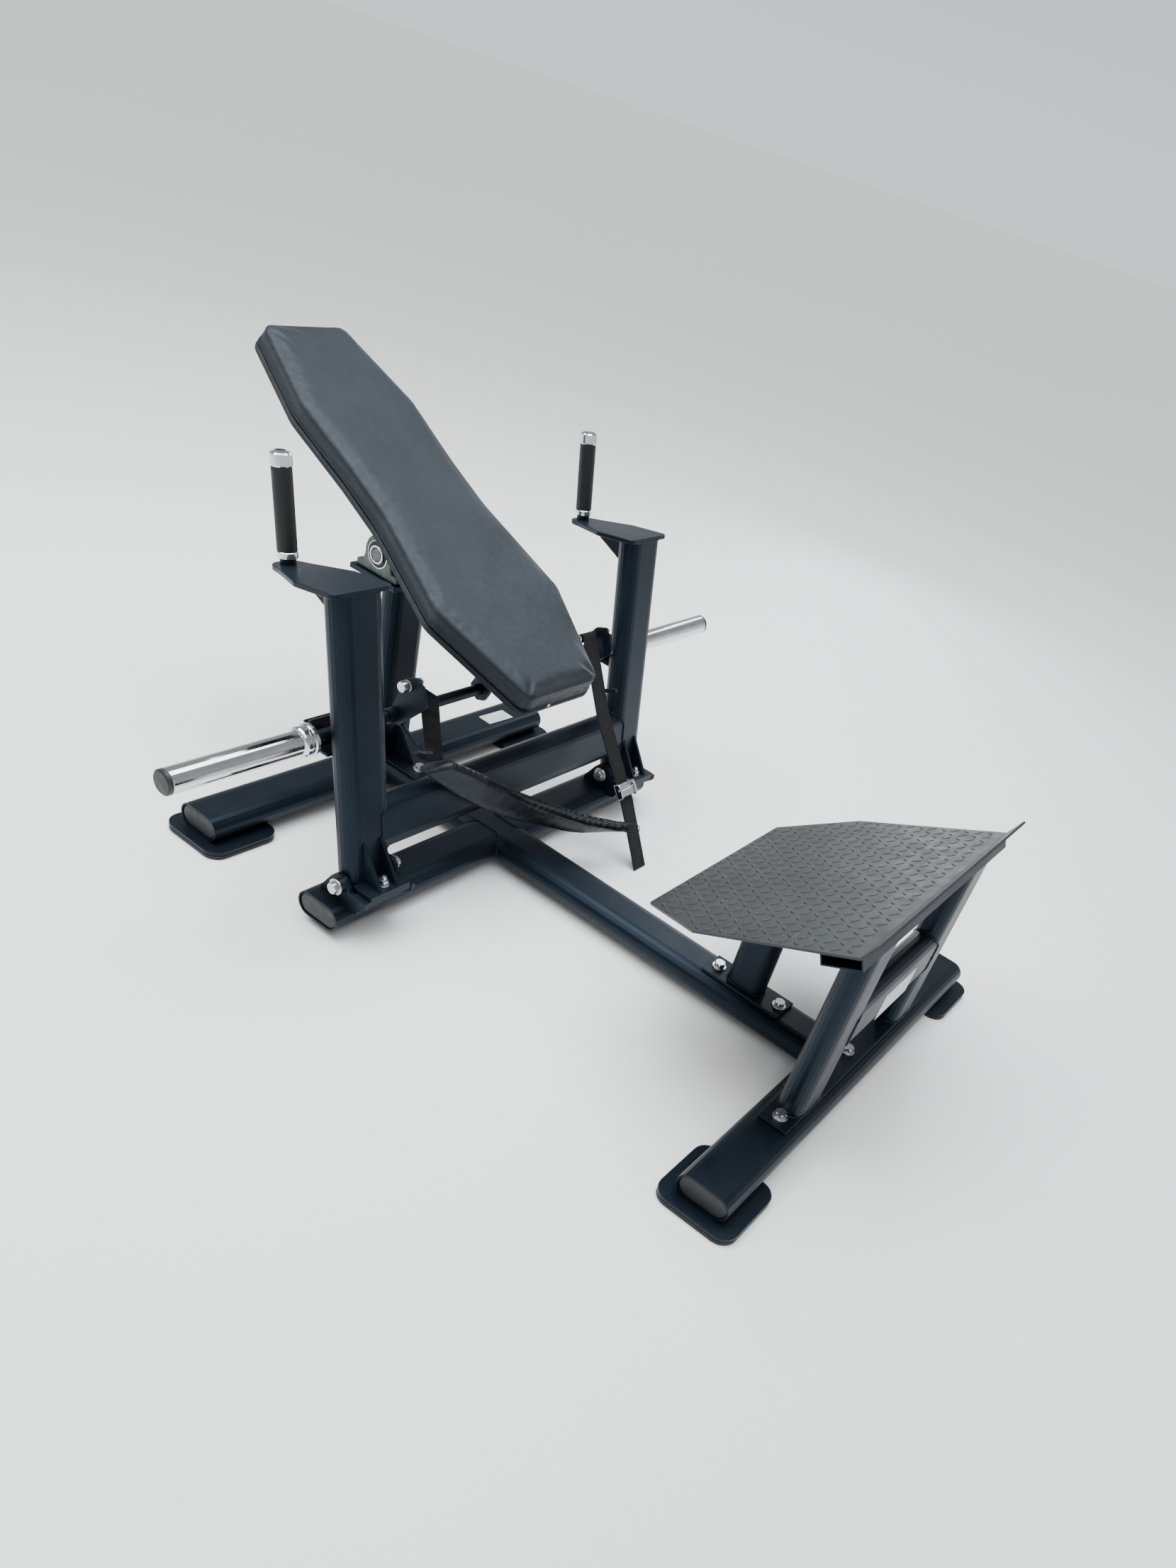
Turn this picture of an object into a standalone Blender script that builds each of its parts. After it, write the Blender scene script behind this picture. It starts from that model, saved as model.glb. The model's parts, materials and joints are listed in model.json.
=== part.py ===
"""Hip thrust machine: floor frame, leaning uprights, pivoting pad, lifting bar, belt and footplate.

Axes: X across the machine, Y from the footplate (negative) to the rear, Z up from the floor.
The shapes are laid out from the crossing of the spine and the middle beam, and at the end
everything moves along Y so that the origin lies in the middle of the footprint.
Lengths are metres.
"""
from math import cos, pi, radians, sin

import bmesh
import bpy
from mathutils import Matrix, Vector

GAP = 0.0003
SIDES = ((-1, "left"), (1, "right"))
X_AXIS = Vector((1, 0, 0))
Y_AXIS = Vector((0, 1, 0))
Z_AXIS = Vector((0, 0, 1))

# Flat-oval frame tube
TUBE_W = 0.120
TUBE_H = 0.060
WALL = 0.004
ARC = 10

# Floor frame
BASE_Z = 0.050
BEAM_TOP = BASE_Z + TUBE_H / 2
REAR_Y = 0.395
FRONT_Y = -1.040
BEAM_HALF = 0.565
CAP_DEPTH = 0.014
CAP_RECESS = 0.002
FOOT_X = 0.500
FOOT_W = 0.186
FOOT_L = 0.180
FOOT_R = 0.035
FOOT_PLATE_T = 0.0095
FOOT_PAD_T = 0.0100

# Uprights
UPRIGHT_X = 0.460
UPRIGHT_Y = -0.0278
LEAN = radians(10.05)
UPRIGHT_LOW = 0.006
UPRIGHT_TOP = 0.635
CROSS_Z = 0.227
CROSS_Y = -0.0017
PIVOT_Y = -0.024
PIVOT_Z = 0.120
PIVOT_R = 0.008
LUG_IN = 0.0625
LUG_OUT = 0.0715
FLANGE_LOW = 0.118
FLANGE_TOP = 0.128

# Handles
TOP_PLATE_T = 0.010
HANDLE_BACK = 0.178
CORE_R = 0.012
RING_R = 0.020
GRIP_R = 0.0195

# Bar
BAR_Y = 0.078
BAR_Z = 0.419
BAR_R = 0.0125
COLLAR_R = 0.016
LUG_MARGIN = 0.025
LUG_X = 0.052
LUG_T = 0.010
FLANGE_R = 0.0325
SLEEVE_R = 0.025
FLANGE_START = 0.541
SLEEVE_END = 0.865
CAP_END = 0.875
EAR_X = 0.318
EAR_T = 0.008
PIN_Y = 0.048
PIN_Z = 0.500
PIN_R = 0.006

# Pad, seen in its own plane: s runs up the pad, n stands out of its face
PAD_ORIGIN = Vector((0, -0.127, 0.506))
PAD_TILT = radians(26.7)
FOAM_T = 0.050
BOARD_T = 0.015
BOARD_INSET = 0.001
CARRIER_T = 0.008
SHAFT_S = 0.507
SHAFT_N = -0.143
SHAFT_R = 0.015
BORE_R = 0.0151
BAR_S = 0.144
BAR_N = -0.170
RAIL_IN = 0.036
RAIL_OUT = 0.046
ROLLER_R = 0.010

# Bearing stand
POST_Y = 0.392
BLOCK_IN = 0.050
BLOCK_OUT = 0.098
BLOCK_DROP = 0.045
SEAT_T = 0.012

# Footplate, seen in its own plane
PLATE_ORIGIN = Vector((0, -0.602, 0.326))
PLATE_TILT = radians(25.25)
PLATE_T = 0.005
RAIL_LOW = -0.030
LEG_X = 0.228
LEG_Y = -1.045
BACK_LEG_Y = -0.768

# Belt and straps
BELT_T = 0.024
STRAP_IN = 0.254
STRAP_OUT = 0.304
STRAP_T = 0.003
LEFT_STRAP_X = 0.290

FINISHES = {
    "black_paint": ((0.018, 0.021, 0.026), 0.42, 0.0),
    "chrome": ((0.72, 0.73, 0.75), 0.12, 1.0),
    "cast_housing": ((0.16, 0.20, 0.19), 0.48, 0.3),
    "vinyl": ((0.060, 0.063, 0.072), 0.50, 0.0),
    "board": ((0.020, 0.020, 0.022), 0.70, 0.0),
    "rubber": ((0.012, 0.012, 0.013), 0.80, 0.0),
    "plastic": ((0.020, 0.021, 0.024), 0.55, 0.0),
    "webbing": ((0.014, 0.015, 0.018), 0.85, 0.0),
    "tread": ((0.050, 0.054, 0.058), 0.55, 0.0),
}


def axes(origin, x_dir, z_dir):
    """A frame at origin with the given local x and z directions."""
    z = Vector(z_dir).normalized()
    x = Vector(x_dir).normalized()
    y = z.cross(x)
    columns = Matrix((x, y, z)).transposed().to_4x4()
    return Matrix.Translation(Vector(origin)) @ columns


def upright_frame(side):
    return axes((side * UPRIGHT_X, UPRIGHT_Y, BEAM_TOP), X_AXIS, (0, sin(LEAN), cos(LEAN)))


def pad_point(s, n):
    along = Vector((0, cos(PAD_TILT), sin(PAD_TILT)))
    out = Vector((0, -sin(PAD_TILT), cos(PAD_TILT)))
    return PAD_ORIGIN + along * s + out * n


def pad_side_frame():
    """Local x is s, local y is n, local z is world X."""
    return axes(PAD_ORIGIN, (0, cos(PAD_TILT), sin(PAD_TILT)), X_AXIS)


def pad_face_frame():
    """Local x is world X, local y runs up the pad, local z stands out of its face."""
    return axes(PAD_ORIGIN, X_AXIS, (0, -sin(PAD_TILT), cos(PAD_TILT)))


def footplate_frame():
    """Local x is minus world X, local y runs up the plate, local z stands out of its face."""
    return axes(PLATE_ORIGIN, (-1, 0, 0), (0, sin(PLATE_TILT), cos(PLATE_TILT)))


def finish(obj, kind):
    colour, roughness, metallic = FINISHES[kind]
    material = bpy.data.materials.new(obj.name + "_" + kind)
    material.use_nodes = True
    shader = material.node_tree.nodes["Principled BSDF"]
    shader.inputs["Base Color"].default_value = (*colour, 1.0)
    shader.inputs["Roughness"].default_value = roughness
    shader.inputs["Metallic"].default_value = metallic
    obj.data.materials.clear()
    obj.data.materials.append(material)
    obj.data.shade_smooth()
    obj.data.set_sharp_from_angle(angle=radians(35))
    return obj


def mesh_object(name, verts, faces):
    mesh = bpy.data.meshes.new(name)
    mesh.from_pydata([tuple(v) for v in verts], [], faces)
    bm = bmesh.new()
    bm.from_mesh(mesh)
    bmesh.ops.recalc_face_normals(bm, faces=bm.faces[:])
    bm.to_mesh(mesh)
    bm.free()
    obj = bpy.data.objects.new(name, mesh)
    bpy.context.scene.collection.objects.link(obj)
    return obj


def ring_faces(first, second, count):
    faces = []
    for j in range(count):
        k = (j + 1) % count
        faces.append((first + j, first + k, second + k, second + j))
    return faces


def loft(name, rings):
    """Skin rings of equal point count and cap both ends."""
    count = len(rings[0])
    verts = [point for ring in rings for point in ring]
    faces = [tuple(range(count))]
    for i in range(len(rings) - 1):
        faces += ring_faces(i * count, (i + 1) * count, count)
    faces.append(tuple(range(len(verts) - count, len(verts))))
    return mesh_object(name, verts, faces)


def prism(name, outline, low, high, frame):
    rings = []
    for z in (low, high):
        rings.append([frame @ Vector((x, y, z)) for x, y in outline])
    return loft(name, rings)


def pipe(name, outer, inner, low, high, frame):
    """A straight tube, open at both ends."""
    count = len(outer)
    verts = []
    for outline, z in ((outer, low), (outer, high), (inner, high), (inner, low)):
        verts += [frame @ Vector((x, y, z)) for x, y in outline]
    faces = []
    for i in range(4):
        faces += ring_faces(i * count, (i + 1) % 4 * count, count)
    return mesh_object(name, verts, faces)


def lathe(name, profile, frame, steps=32):
    """Turn (radius, height) points about the frame's z axis."""
    rings = []
    for radius, z in profile:
        ring = []
        for j in range(steps):
            angle = 2 * pi * j / steps
            ring.append(frame @ Vector((radius * cos(angle), radius * sin(angle), z)))
        rings.append(ring)
    return loft(name, rings)


def bushing(name, outer_r, inner_r, low, high, frame, steps=32):
    return pipe(name, circle(outer_r, steps), circle(inner_r, steps), low, high, frame)


def circle(radius, steps, centre=(0, 0)):
    points = []
    for j in range(steps):
        angle = 2 * pi * j / steps
        points.append((centre[0] + radius * cos(angle), centre[1] + radius * sin(angle)))
    return points


def racetrack(width, height, steps=ARC):
    """Outline of a flat-oval tube, its long way along local x."""
    radius = height / 2
    half = width / 2 - radius
    points = []
    for side in (1, -1):
        for i in range(steps + 1):
            angle = pi * i / steps - pi / 2
            points.append((side * (half + radius * cos(angle)), side * radius * sin(angle)))
    return points


def rounded(points, radii, steps=5):
    """Round the corners of a polygon; one radius for all corners or one for each."""
    if not isinstance(radii, (list, tuple)):
        radii = [radii] * len(points)
    result = []
    for i, corner in enumerate(points):
        here = Vector(corner)
        before = Vector(points[i - 1]) - here
        after = Vector(points[(i + 1) % len(points)]) - here
        radius = radii[i]
        if radius <= 0:
            result.append(tuple(here))
            continue
        half = before.angle(after) / 2
        reach = radius / max(1e-6, sin(half) / cos(half))
        reach = min(reach, 0.49 * before.length, 0.49 * after.length)
        radius = reach * sin(half) / cos(half)
        centre = here + (before.normalized() + after.normalized()).normalized() * radius / sin(half)
        start = here + before.normalized() * reach - centre
        end = here + after.normalized() * reach - centre
        sweep = start.angle_signed(end)
        for j in range(steps + 1):
            angle = -sweep * j / steps
            turned = Vector((start.x * cos(angle) - start.y * sin(angle),
                             start.x * sin(angle) + start.y * cos(angle)))
            result.append(tuple(centre + turned))
    return result


def inset(points, distance):
    """Move every side of a convex-ish counter-clockwise outline inwards."""
    result = []
    for i, corner in enumerate(points):
        here = Vector(corner)
        before = (here - Vector(points[i - 1])).normalized()
        after = (Vector(points[(i + 1) % len(points)]) - here).normalized()
        normal = Vector((-before.y - after.y, before.x + after.x)).normalized()
        scale = max(0.5, normal.dot(Vector((-before.y, before.x))))
        result.append(tuple(here + normal * distance / scale))
    return result


def bake_modifier(obj):
    depsgraph = bpy.context.evaluated_depsgraph_get()
    mesh = bpy.data.meshes.new_from_object(obj.evaluated_get(depsgraph))
    old = obj.data
    obj.modifiers.clear()
    obj.data = mesh
    bpy.data.meshes.remove(old)


def combine(obj, tool, operation):
    modifier = obj.modifiers.new("Join", "BOOLEAN")
    modifier.operation = operation
    modifier.solver = "EXACT"
    modifier.object = tool
    bake_modifier(obj)
    bpy.data.objects.remove(tool)
    return obj


def add(obj, *tools):
    for tool in tools:
        combine(obj, tool, "UNION")
    return obj


def cut(obj, *tools):
    for tool in tools:
        combine(obj, tool, "DIFFERENCE")
    return obj


def soften(obj, width, angle=50):
    """Break the sharp edges with one small chamfer."""
    bm = bmesh.new()
    bm.from_mesh(obj.data)
    edges = [e for e in bm.edges if len(e.link_faces) == 2 and e.calc_face_angle() > radians(angle)]
    bmesh.ops.bevel(bm, geom=edges, offset=width, segments=1, profile=0.5, affect="EDGES")
    bmesh.ops.recalc_face_normals(bm, faces=bm.faces[:])
    bm.to_mesh(obj.data)
    bm.free()
    return obj


def block(name, low, high, frame=None):
    """A box between two local corners."""
    frame = frame or Matrix.Identity(4)
    outline = [(low[0], low[1]), (high[0], low[1]), (high[0], high[1]), (low[0], high[1])]
    return prism(name, outline, low[2], high[2], frame)


def oval_pipe(name, low, high, frame, width=TUBE_W, height=TUBE_H):
    outer = racetrack(width, height)
    inner = racetrack(width - 2 * WALL, height - 2 * WALL)
    return pipe(name, outer, inner, low, high, frame)


def oval_cutter(low, high, frame, width=TUBE_W, height=TUBE_H):
    outline = racetrack(width + 2 * GAP, height + 2 * GAP)
    return prism("cutter", outline, low, high, frame)


def side_plate(name, outline, low_x, high_x, side=1):
    """A plate standing across X; the outline holds (y, z) points."""
    frame = axes((0, 0, 0), Y_AXIS, X_AXIS)
    low, high = sorted((side * low_x, side * high_x))
    return prism(name, outline, low, high, frame)


def round_bar(name, path, radius, steps=12):
    """A bent round bar through the given points."""
    points = [Vector(p) for p in path]
    rings = []
    reference = Vector((1, 0, 0))
    for i, point in enumerate(points):
        before = points[max(i - 1, 0)]
        after = points[min(i + 1, len(points) - 1)]
        tangent = (after - before).normalized()
        u = (reference - tangent * reference.dot(tangent)).normalized()
        v = tangent.cross(u)
        ring = []
        for j in range(steps):
            angle = 2 * pi * j / steps
            ring.append(point + (u * cos(angle) + v * sin(angle)) * radius)
        rings.append(ring)
    return loft(name, rings)


def bend(points, radius, steps=4):
    """Replace the corners of an open path in space by short arcs."""
    result = [Vector(points[0])]
    for i in range(1, len(points) - 1):
        here = Vector(points[i])
        before = (Vector(points[i - 1]) - here).normalized()
        after = (Vector(points[i + 1]) - here).normalized()
        start = here + before * radius
        end = here + after * radius
        for j in range(steps + 1):
            t = j / steps
            result.append(start * (1 - t) ** 2 + here * 2 * t * (1 - t) + end * t ** 2)
    result.append(Vector(points[-1]))
    return result


def ribbon(name, path, low_x, high_x, thickness):
    """Webbing that runs along (y, z) points, flat across X."""
    points = [Vector((0, y, z)) for y, z in path]
    front = []
    back = []
    for i, point in enumerate(points):
        before = points[max(i - 1, 0)]
        after = points[min(i + 1, len(points) - 1)]
        tangent = (after - before).normalized()
        normal = Vector((0, -tangent.z, tangent.y))
        front.append(point + normal * thickness / 2)
        back.append(point - normal * thickness / 2)
    rings = []
    for f, b in zip(front, back):
        rings.append([(low_x, f.y, f.z), (high_x, f.y, f.z), (high_x, b.y, b.z), (low_x, b.y, b.z)])
    return loft(name, rings)


def cross_frame(y, z=BASE_Z):
    return axes((0, y, z), Y_AXIS, X_AXIS)


def spine_frame():
    return axes((0, 0, BASE_Z), X_AXIS, Y_AXIS)


def spine_cutter():
    return oval_cutter(FRONT_Y, REAR_Y, spine_frame())


def build_floor_frame():
    for name, y in (("rear_beam", REAR_Y), ("front_beam", FRONT_Y)):
        finish(oval_pipe(name, -BEAM_HALF, BEAM_HALF, cross_frame(y)), "black_paint")
    spine = oval_pipe("spine", FRONT_Y + TUBE_H / 2, REAR_Y - TUBE_H / 2, spine_frame())
    for y in (FRONT_Y, REAR_Y):
        cut(spine, oval_cutter(-0.2, 0.2, cross_frame(y)))
    finish(spine, "black_paint")
    for side, label in SIDES:
        low, high = sorted((side * TUBE_H / 2, side * BEAM_HALF))
        arm = oval_pipe("middle_beam_" + label, low, high, cross_frame(0))
        cut(arm, spine_cutter())
        finish(arm, "black_paint")


def build_end_caps():
    outline = racetrack(TUBE_W - 2 * WALL - 2 * GAP, TUBE_H - 2 * WALL - 2 * GAP)
    small = inset(outline, 0.004)
    for row, y in (("rear", REAR_Y), ("middle", 0), ("front", FRONT_Y)):
        for side, label in SIDES:
            end = BEAM_HALF - CAP_RECESS
            rings = []
            layers = ((outline, end - CAP_DEPTH), (outline, end - 0.002), (small, end))
            for points, x in layers:
                rings.append([(side * x, y + p, BASE_Z + q) for p, q in points])
            finish(loft(row + "_cap_" + label, rings), "plastic")


def build_feet():
    half_w = FOOT_W / 2
    half_l = FOOT_L / 2
    corners = [(-half_w, -half_l), (half_w, -half_l), (half_w, half_l), (-half_w, half_l)]
    outline = rounded(corners, FOOT_R, 6)
    plate_top = BASE_Z - TUBE_H / 2 - GAP
    for row, y in (("rear", REAR_Y), ("front", FRONT_Y)):
        for side, label in SIDES:
            frame = Matrix.Translation((side * FOOT_X, y, 0))
            plate = prism("foot_plate_" + row + "_" + label, outline,
                          plate_top - FOOT_PLATE_T, plate_top, frame)
            finish(soften(plate, 0.0012), "black_paint")
            pad = prism("foot_pad_" + row + "_" + label, outline,
                        0, plate_top - FOOT_PLATE_T - GAP, frame)
            finish(soften(pad, 0.0015), "rubber")


def stop_point(along, depth):
    """A point of the bar's rest seat: along its slope, and depth behind the bar's axis."""
    slope = radians(57.5)
    y = BAR_Y + along * cos(slope) + depth * sin(slope)
    z = BAR_Z + along * sin(slope) - depth * cos(slope)
    return (y, z)


def build_uprights():
    for side, label in SIDES:
        x = side * UPRIGHT_X
        upright = oval_pipe("upright_" + label, UPRIGHT_LOW, UPRIGHT_TOP - GAP, upright_frame(side))
        flange = block("flange", (x - 0.056, -0.104, FLANGE_LOW), (x + 0.056, -0.0485, FLANGE_TOP))
        add(upright, soften(flange, 0.0012))
        outline = [(-0.100, 0.1275), (-0.0475, 0.1275), (-0.0325, 0.215), (-0.0370, 0.215)]
        for shift in (-0.024, 0.024):
            add(upright, side_plate("gusset", outline, x + shift - 0.004, x + shift + 0.004))
        low, high = UPRIGHT_X - 0.030, UPRIGHT_X + 0.058
        floor = [(0.0550, 0.383), (0.1000, 0.383), (0.1030, 0.389), (0.0550, 0.389)]
        add(upright, side_plate("floor", floor, low, high, side))
        back = [stop_point(-0.016, 0.0323), stop_point(-0.016, 0.0383),
                stop_point(0.036, 0.0383), stop_point(0.036, 0.0323)]
        add(upright, side_plate("back", back, low, high, side))
        bore = lathe("bore", [(PIVOT_R + GAP, -0.08), (PIVOT_R + GAP, 0.08)],
                     axes((x, PIVOT_Y, PIVOT_Z), Y_AXIS, X_AXIS))
        cut(upright, bore)
        finish(upright, "black_paint")
        face = [stop_point(-0.010, 0.020), stop_point(-0.010, 0.032),
                stop_point(0.034, 0.032), stop_point(0.034, 0.020)]
        stop = side_plate("stop_block_" + label, face, low + 0.002, high - 0.002, side)
        finish(soften(stop, 0.0025), "rubber")


def build_raised_cross_tube():
    frame = axes((0, CROSS_Y, CROSS_Z), (0, sin(LEAN), cos(LEAN)), X_AXIS)
    reach = UPRIGHT_X - TUBE_H / 2
    tube = oval_pipe("raised_cross_tube", -reach, reach, frame)
    for side, label in SIDES:
        cut(tube, oval_cutter(0.02, 0.40, upright_frame(side)))
    finish(tube, "black_paint")


def build_clevises():
    lug = [(-0.104, 0.1172), (-0.104, 0.104), (-0.066, 0.070), (-0.040, 0.070),
           (0.030, 0.070), (0.030, 0.089), (0.004, 0.128), (-0.012, 0.146),
           (-0.036, 0.146), (-0.052, 0.128), (-0.056, 0.1172)]
    radii = [0, 0.004, 0, 0, 0, 0.004, 0.010, 0.014, 0.014, 0.006, 0]
    outline = rounded(lug, radii, 4)
    for side, label in SIDES:
        x = side * UPRIGHT_X
        clevis = side_plate("clevis_" + label, outline, x + LUG_IN, x + LUG_OUT)
        other = side_plate("lug", outline, x - LUG_OUT, x - LUG_IN)
        shelf = block("shelf", (x - 0.066, -0.102, 0.107), (x + 0.066, -0.062, 0.1165))
        web = block("web", (x - 0.066, -0.074, 0.070), (x + 0.066, -0.064, 0.112))
        add(clevis, shelf, web, other)
        cut(clevis, oval_cutter(-0.6, 0.6, cross_frame(0)))
        bore = lathe("bore", [(PIVOT_R + GAP, -0.09), (PIVOT_R + GAP, 0.09)],
                     axes((x, PIVOT_Y, PIVOT_Z), Y_AXIS, X_AXIS), 24)
        cut(clevis, bore)
        finish(clevis, "black_paint")
        head = 0.0132
        low = LUG_OUT + GAP
        profile = [(head, -low - 0.009), (head, -low), (PIVOT_R, -low), (PIVOT_R, low),
                   (head, low), (head, low + 0.009)]
        bolt = lathe("pivot_bolt_" + label, profile,
                     axes((x, PIVOT_Y, PIVOT_Z), Y_AXIS, X_AXIS), 24)
        finish(bolt, "chrome")


def build_handles():
    outline = [(-0.075, -0.032), (0.075, -0.032), (0.075, 0.075), (0.040, 0.160),
               (0.028, 0.200), (-0.028, 0.200), (-0.040, 0.160), (-0.075, 0.075)]
    outline = rounded(outline, [0.015, 0.015, 0.02, 0.05, 0.026, 0.026, 0.05, 0.02], 5)
    top = UPRIGHT_TOP + TOP_PLATE_T
    for side, label in SIDES:
        frame = upright_frame(side)
        plate = prism("top_plate_" + label, outline, UPRIGHT_TOP, top, frame)
        soften(plate, 0.0012)
        rib_outline = [(0.0303, 0.565), (0.036, 0.565), (0.150, UPRIGHT_TOP + 0.002),
                       (0.0303, UPRIGHT_TOP + 0.002)]
        rib = upright_rib(frame, rib_outline, 0.004)
        add(plate, rib)
        stem_frame = frame @ Matrix.Translation((0, HANDLE_BACK, 0))
        neck = lathe("neck", [(0.0155, top - 0.004), (0.0155, 0.655), (CORE_R, 0.655),
                              (CORE_R, 0.8165)], stem_frame)
        add(plate, neck)
        finish(plate, "black_paint")
        ring = bushing("handle_ring_" + label, RING_R, CORE_R + GAP, 0.6553, 0.668, stem_frame)
        finish(soften(ring, 0.0012), "chrome")
        grip = bushing("handle_grip_" + label, GRIP_R, CORE_R + GAP, 0.6683, 0.8165, stem_frame)
        finish(soften(grip, 0.0015), "rubber")
        profile = [(0.0195, 0.8172), (0.0205, 0.819), (0.0205, 0.838), (0.0185, 0.841),
                   (0.010, 0.8445)]
        finish(lathe("handle_cap_" + label, profile, stem_frame, 24), "chrome")


def upright_rib(frame, outline, half):
    """A plate in the upright's middle plane; the outline holds (back, along) points."""
    rings = []
    for x in (-half, half):
        rings.append([frame @ Vector((x, back, along)) for back, along in outline])
    return loft("rib", rings)


def build_bar():
    frame = axes((0, BAR_Y, BAR_Z), Y_AXIS, X_AXIS)
    half = [(BAR_R, 0.0), (BAR_R, 0.277), (COLLAR_R, 0.277), (COLLAR_R, 0.342), (BAR_R, 0.342),
            (BAR_R, SLEEVE_END)]
    profile = [(r, -x) for r, x in reversed(half[1:])] + half[1:]
    bar = lathe("weight_bar", profile, frame, 24)
    ear = [(0.060, 0.403), (0.088, 0.410), (0.086, 0.432), (0.062, 0.500), (0.050, 0.517),
           (0.022, 0.527), (0.014, 0.516), (-0.002, 0.494), (-0.010, 0.475)]
    outline = rounded(ear, [0.006, 0.006, 0.010, 0.012, 0.010, 0.006, 0.006, 0.010, 0.010], 4)
    for side, label in SIDES:
        add(bar, side_plate("ear", outline, EAR_X - EAR_T / 2, EAR_X + EAR_T / 2, side))
        start = LEFT_STRAP_X + STRAP_T / 2 + GAP if side < 0 else 0.246
        pin = [(PIN_R, start), (PIN_R, 0.330), (0.010, 0.330), (0.010, 0.338)]
        pin_frame = axes((0, PIN_Y, PIN_Z), Y_AXIS, X_AXIS)
        if side < 0:
            pin = [(r, -x) for r, x in reversed(pin)]
        add(bar, lathe("pin", pin, pin_frame, 16))
        x = side * 0.3145
        hook = bend([(x, 0.070, 0.410), (x, -0.005, 0.373), (x + side * 0.004, -0.047, 0.393)], 0.014)
        add(bar, round_bar("hook", hook, 0.0052))
    add_lift_lugs(bar)
    finish(bar, "black_paint")
    for side, label in SIDES:
        turned = axes((0, BAR_Y, BAR_Z), Y_AXIS, (side, 0, 0))
        shell = [(0.0300, FLANGE_START), (FLANGE_R, FLANGE_START + 0.003), (FLANGE_R, 0.551),
                 (0.0300, 0.554), (0.0300, 0.559), (0.0310, 0.561), (0.0310, 0.571), (0.0290, 0.575),
                 (SLEEVE_R, 0.577), (SLEEVE_R, SLEEVE_END - 0.001), (SLEEVE_R - 0.001, SLEEVE_END)]
        sleeve = lathe("sleeve_" + label, shell, turned, 40)
        bore = lathe("bore", [(BAR_R + GAP, 0.5), (BAR_R + GAP, 0.9)], turned, 24)
        finish(cut(sleeve, bore), "chrome")
        cap = [(SLEEVE_R - 0.0004, SLEEVE_END + GAP), (SLEEVE_R - 0.0004, CAP_END - 0.003),
               (SLEEVE_R - 0.004, CAP_END)]
        finish(lathe("sleeve_cap_" + label, cap, turned), "plastic")


def carrier_top():
    return -FOAM_T - BOARD_T - 2 * GAP


def add_lift_lugs(bar):
    """Two plates round the bar that hold the roller under the pad."""
    frame = pad_side_frame()
    small = LUG_MARGIN * sin(pi / 8) / cos(pi / 8)
    reach = carrier_top() - CARRIER_T - 2 * GAP - ROLLER_R - BAR_N
    half = [(small, -LUG_MARGIN), (LUG_MARGIN, -small), (LUG_MARGIN, small), (0.009, reach - 0.006),
            (0.0075, reach + 0.005), (0.003, reach + 0.0085)]
    outline = [(BAR_S + x, BAR_N + y) for x, y in half]
    outline += [(BAR_S - x, BAR_N + y) for x, y in reversed(half)]
    for side in (-1, 1):
        low, high = sorted((side * (LUG_X - LUG_T / 2), side * (LUG_X + LUG_T / 2)))
        add(bar, prism("lug", outline, low, high, frame))
    end = LUG_X - LUG_T / 2 - 0.0005
    profile = [(0.005, -LUG_X), (0.005, -end), (ROLLER_R, -end), (ROLLER_R, end), (0.005, end),
               (0.005, LUG_X)]
    add(bar, lathe("roller", profile, frame @ Matrix.Translation((BAR_S, BAR_N + reach, 0)), 24))


def pad_outline():
    half = [(0.125, 0.0), (0.208, 0.255), (0.164, 0.500), (0.162, 0.620), (0.170, 0.795),
            (0.118, 1.015)]
    points = half + [(-x, s) for x, s in reversed(half)]
    radii = [0.040, 0.060, 0.20, 0.20, 0.100, 0.035]
    return rounded(points, radii + radii[::-1], 5)


def build_pad():
    frame = pad_face_frame()
    outline = pad_outline()
    rings = []
    for shift, n in ((0.006, -FOAM_T), (0.0015, -FOAM_T + 0.002), (0.0, -FOAM_T + 0.006), (0.0, -0.012),
                     (0.003, -0.004), (0.012, 0.0)):
        rings.append([frame @ Vector((x, y, n)) for x, y in inset(outline, shift)])
    finish(loft("pad_cushion", rings), "vinyl")
    board = prism("backing_board", inset(outline, BOARD_INSET), -FOAM_T - GAP - BOARD_T,
                  -FOAM_T - GAP, frame)
    finish(soften(board, 0.0035), "board")


def pad_rail(low_x, high_x):
    """One long side plate with the bearing ear near its middle."""
    frame = pad_side_frame()
    top = carrier_top() - CARRIER_T / 2
    outline = [(0.300, top), (0.335, -0.106), (0.440, -0.106), (0.475, -0.150), (0.490, -0.172),
               (0.524, -0.172), (0.539, -0.150), (0.560, -0.106), (0.690, -0.090), (0.700, top)]
    rail = prism("rail", outline, low_x, high_x, frame)
    hole = circle(SHAFT_R - 0.002, 24, (SHAFT_S, SHAFT_N))
    return cut(rail, prism("hole", hole, low_x - 0.01, high_x + 0.01, frame))


def build_pad_frame():
    top = carrier_top()
    plate = block("pad_carrier", (-0.070, 0.085, top - CARRIER_T), (0.070, 0.715, top), pad_face_frame())
    soften(plate, 0.001)
    add(plate, pad_rail(RAIL_IN, RAIL_OUT), pad_rail(-RAIL_OUT, -RAIL_IN))
    frame = axes(pad_point(SHAFT_S, SHAFT_N), Y_AXIS, X_AXIS)
    add(plate, bushing("hub", 0.026, SHAFT_R - 0.002, -0.0465, 0.0465, frame, 24))
    cutter_r = SHAFT_R + GAP
    cut(plate, lathe("bore", [(cutter_r, -0.06), (cutter_r, 0.06)], frame, 48))
    finish(plate, "black_paint")
    profile = [(0.0125, -0.104), (SHAFT_R, -0.102), (SHAFT_R, 0.102), (0.0125, 0.104)]
    finish(lathe("pad_shaft", profile, frame, 48), "chrome")


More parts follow.
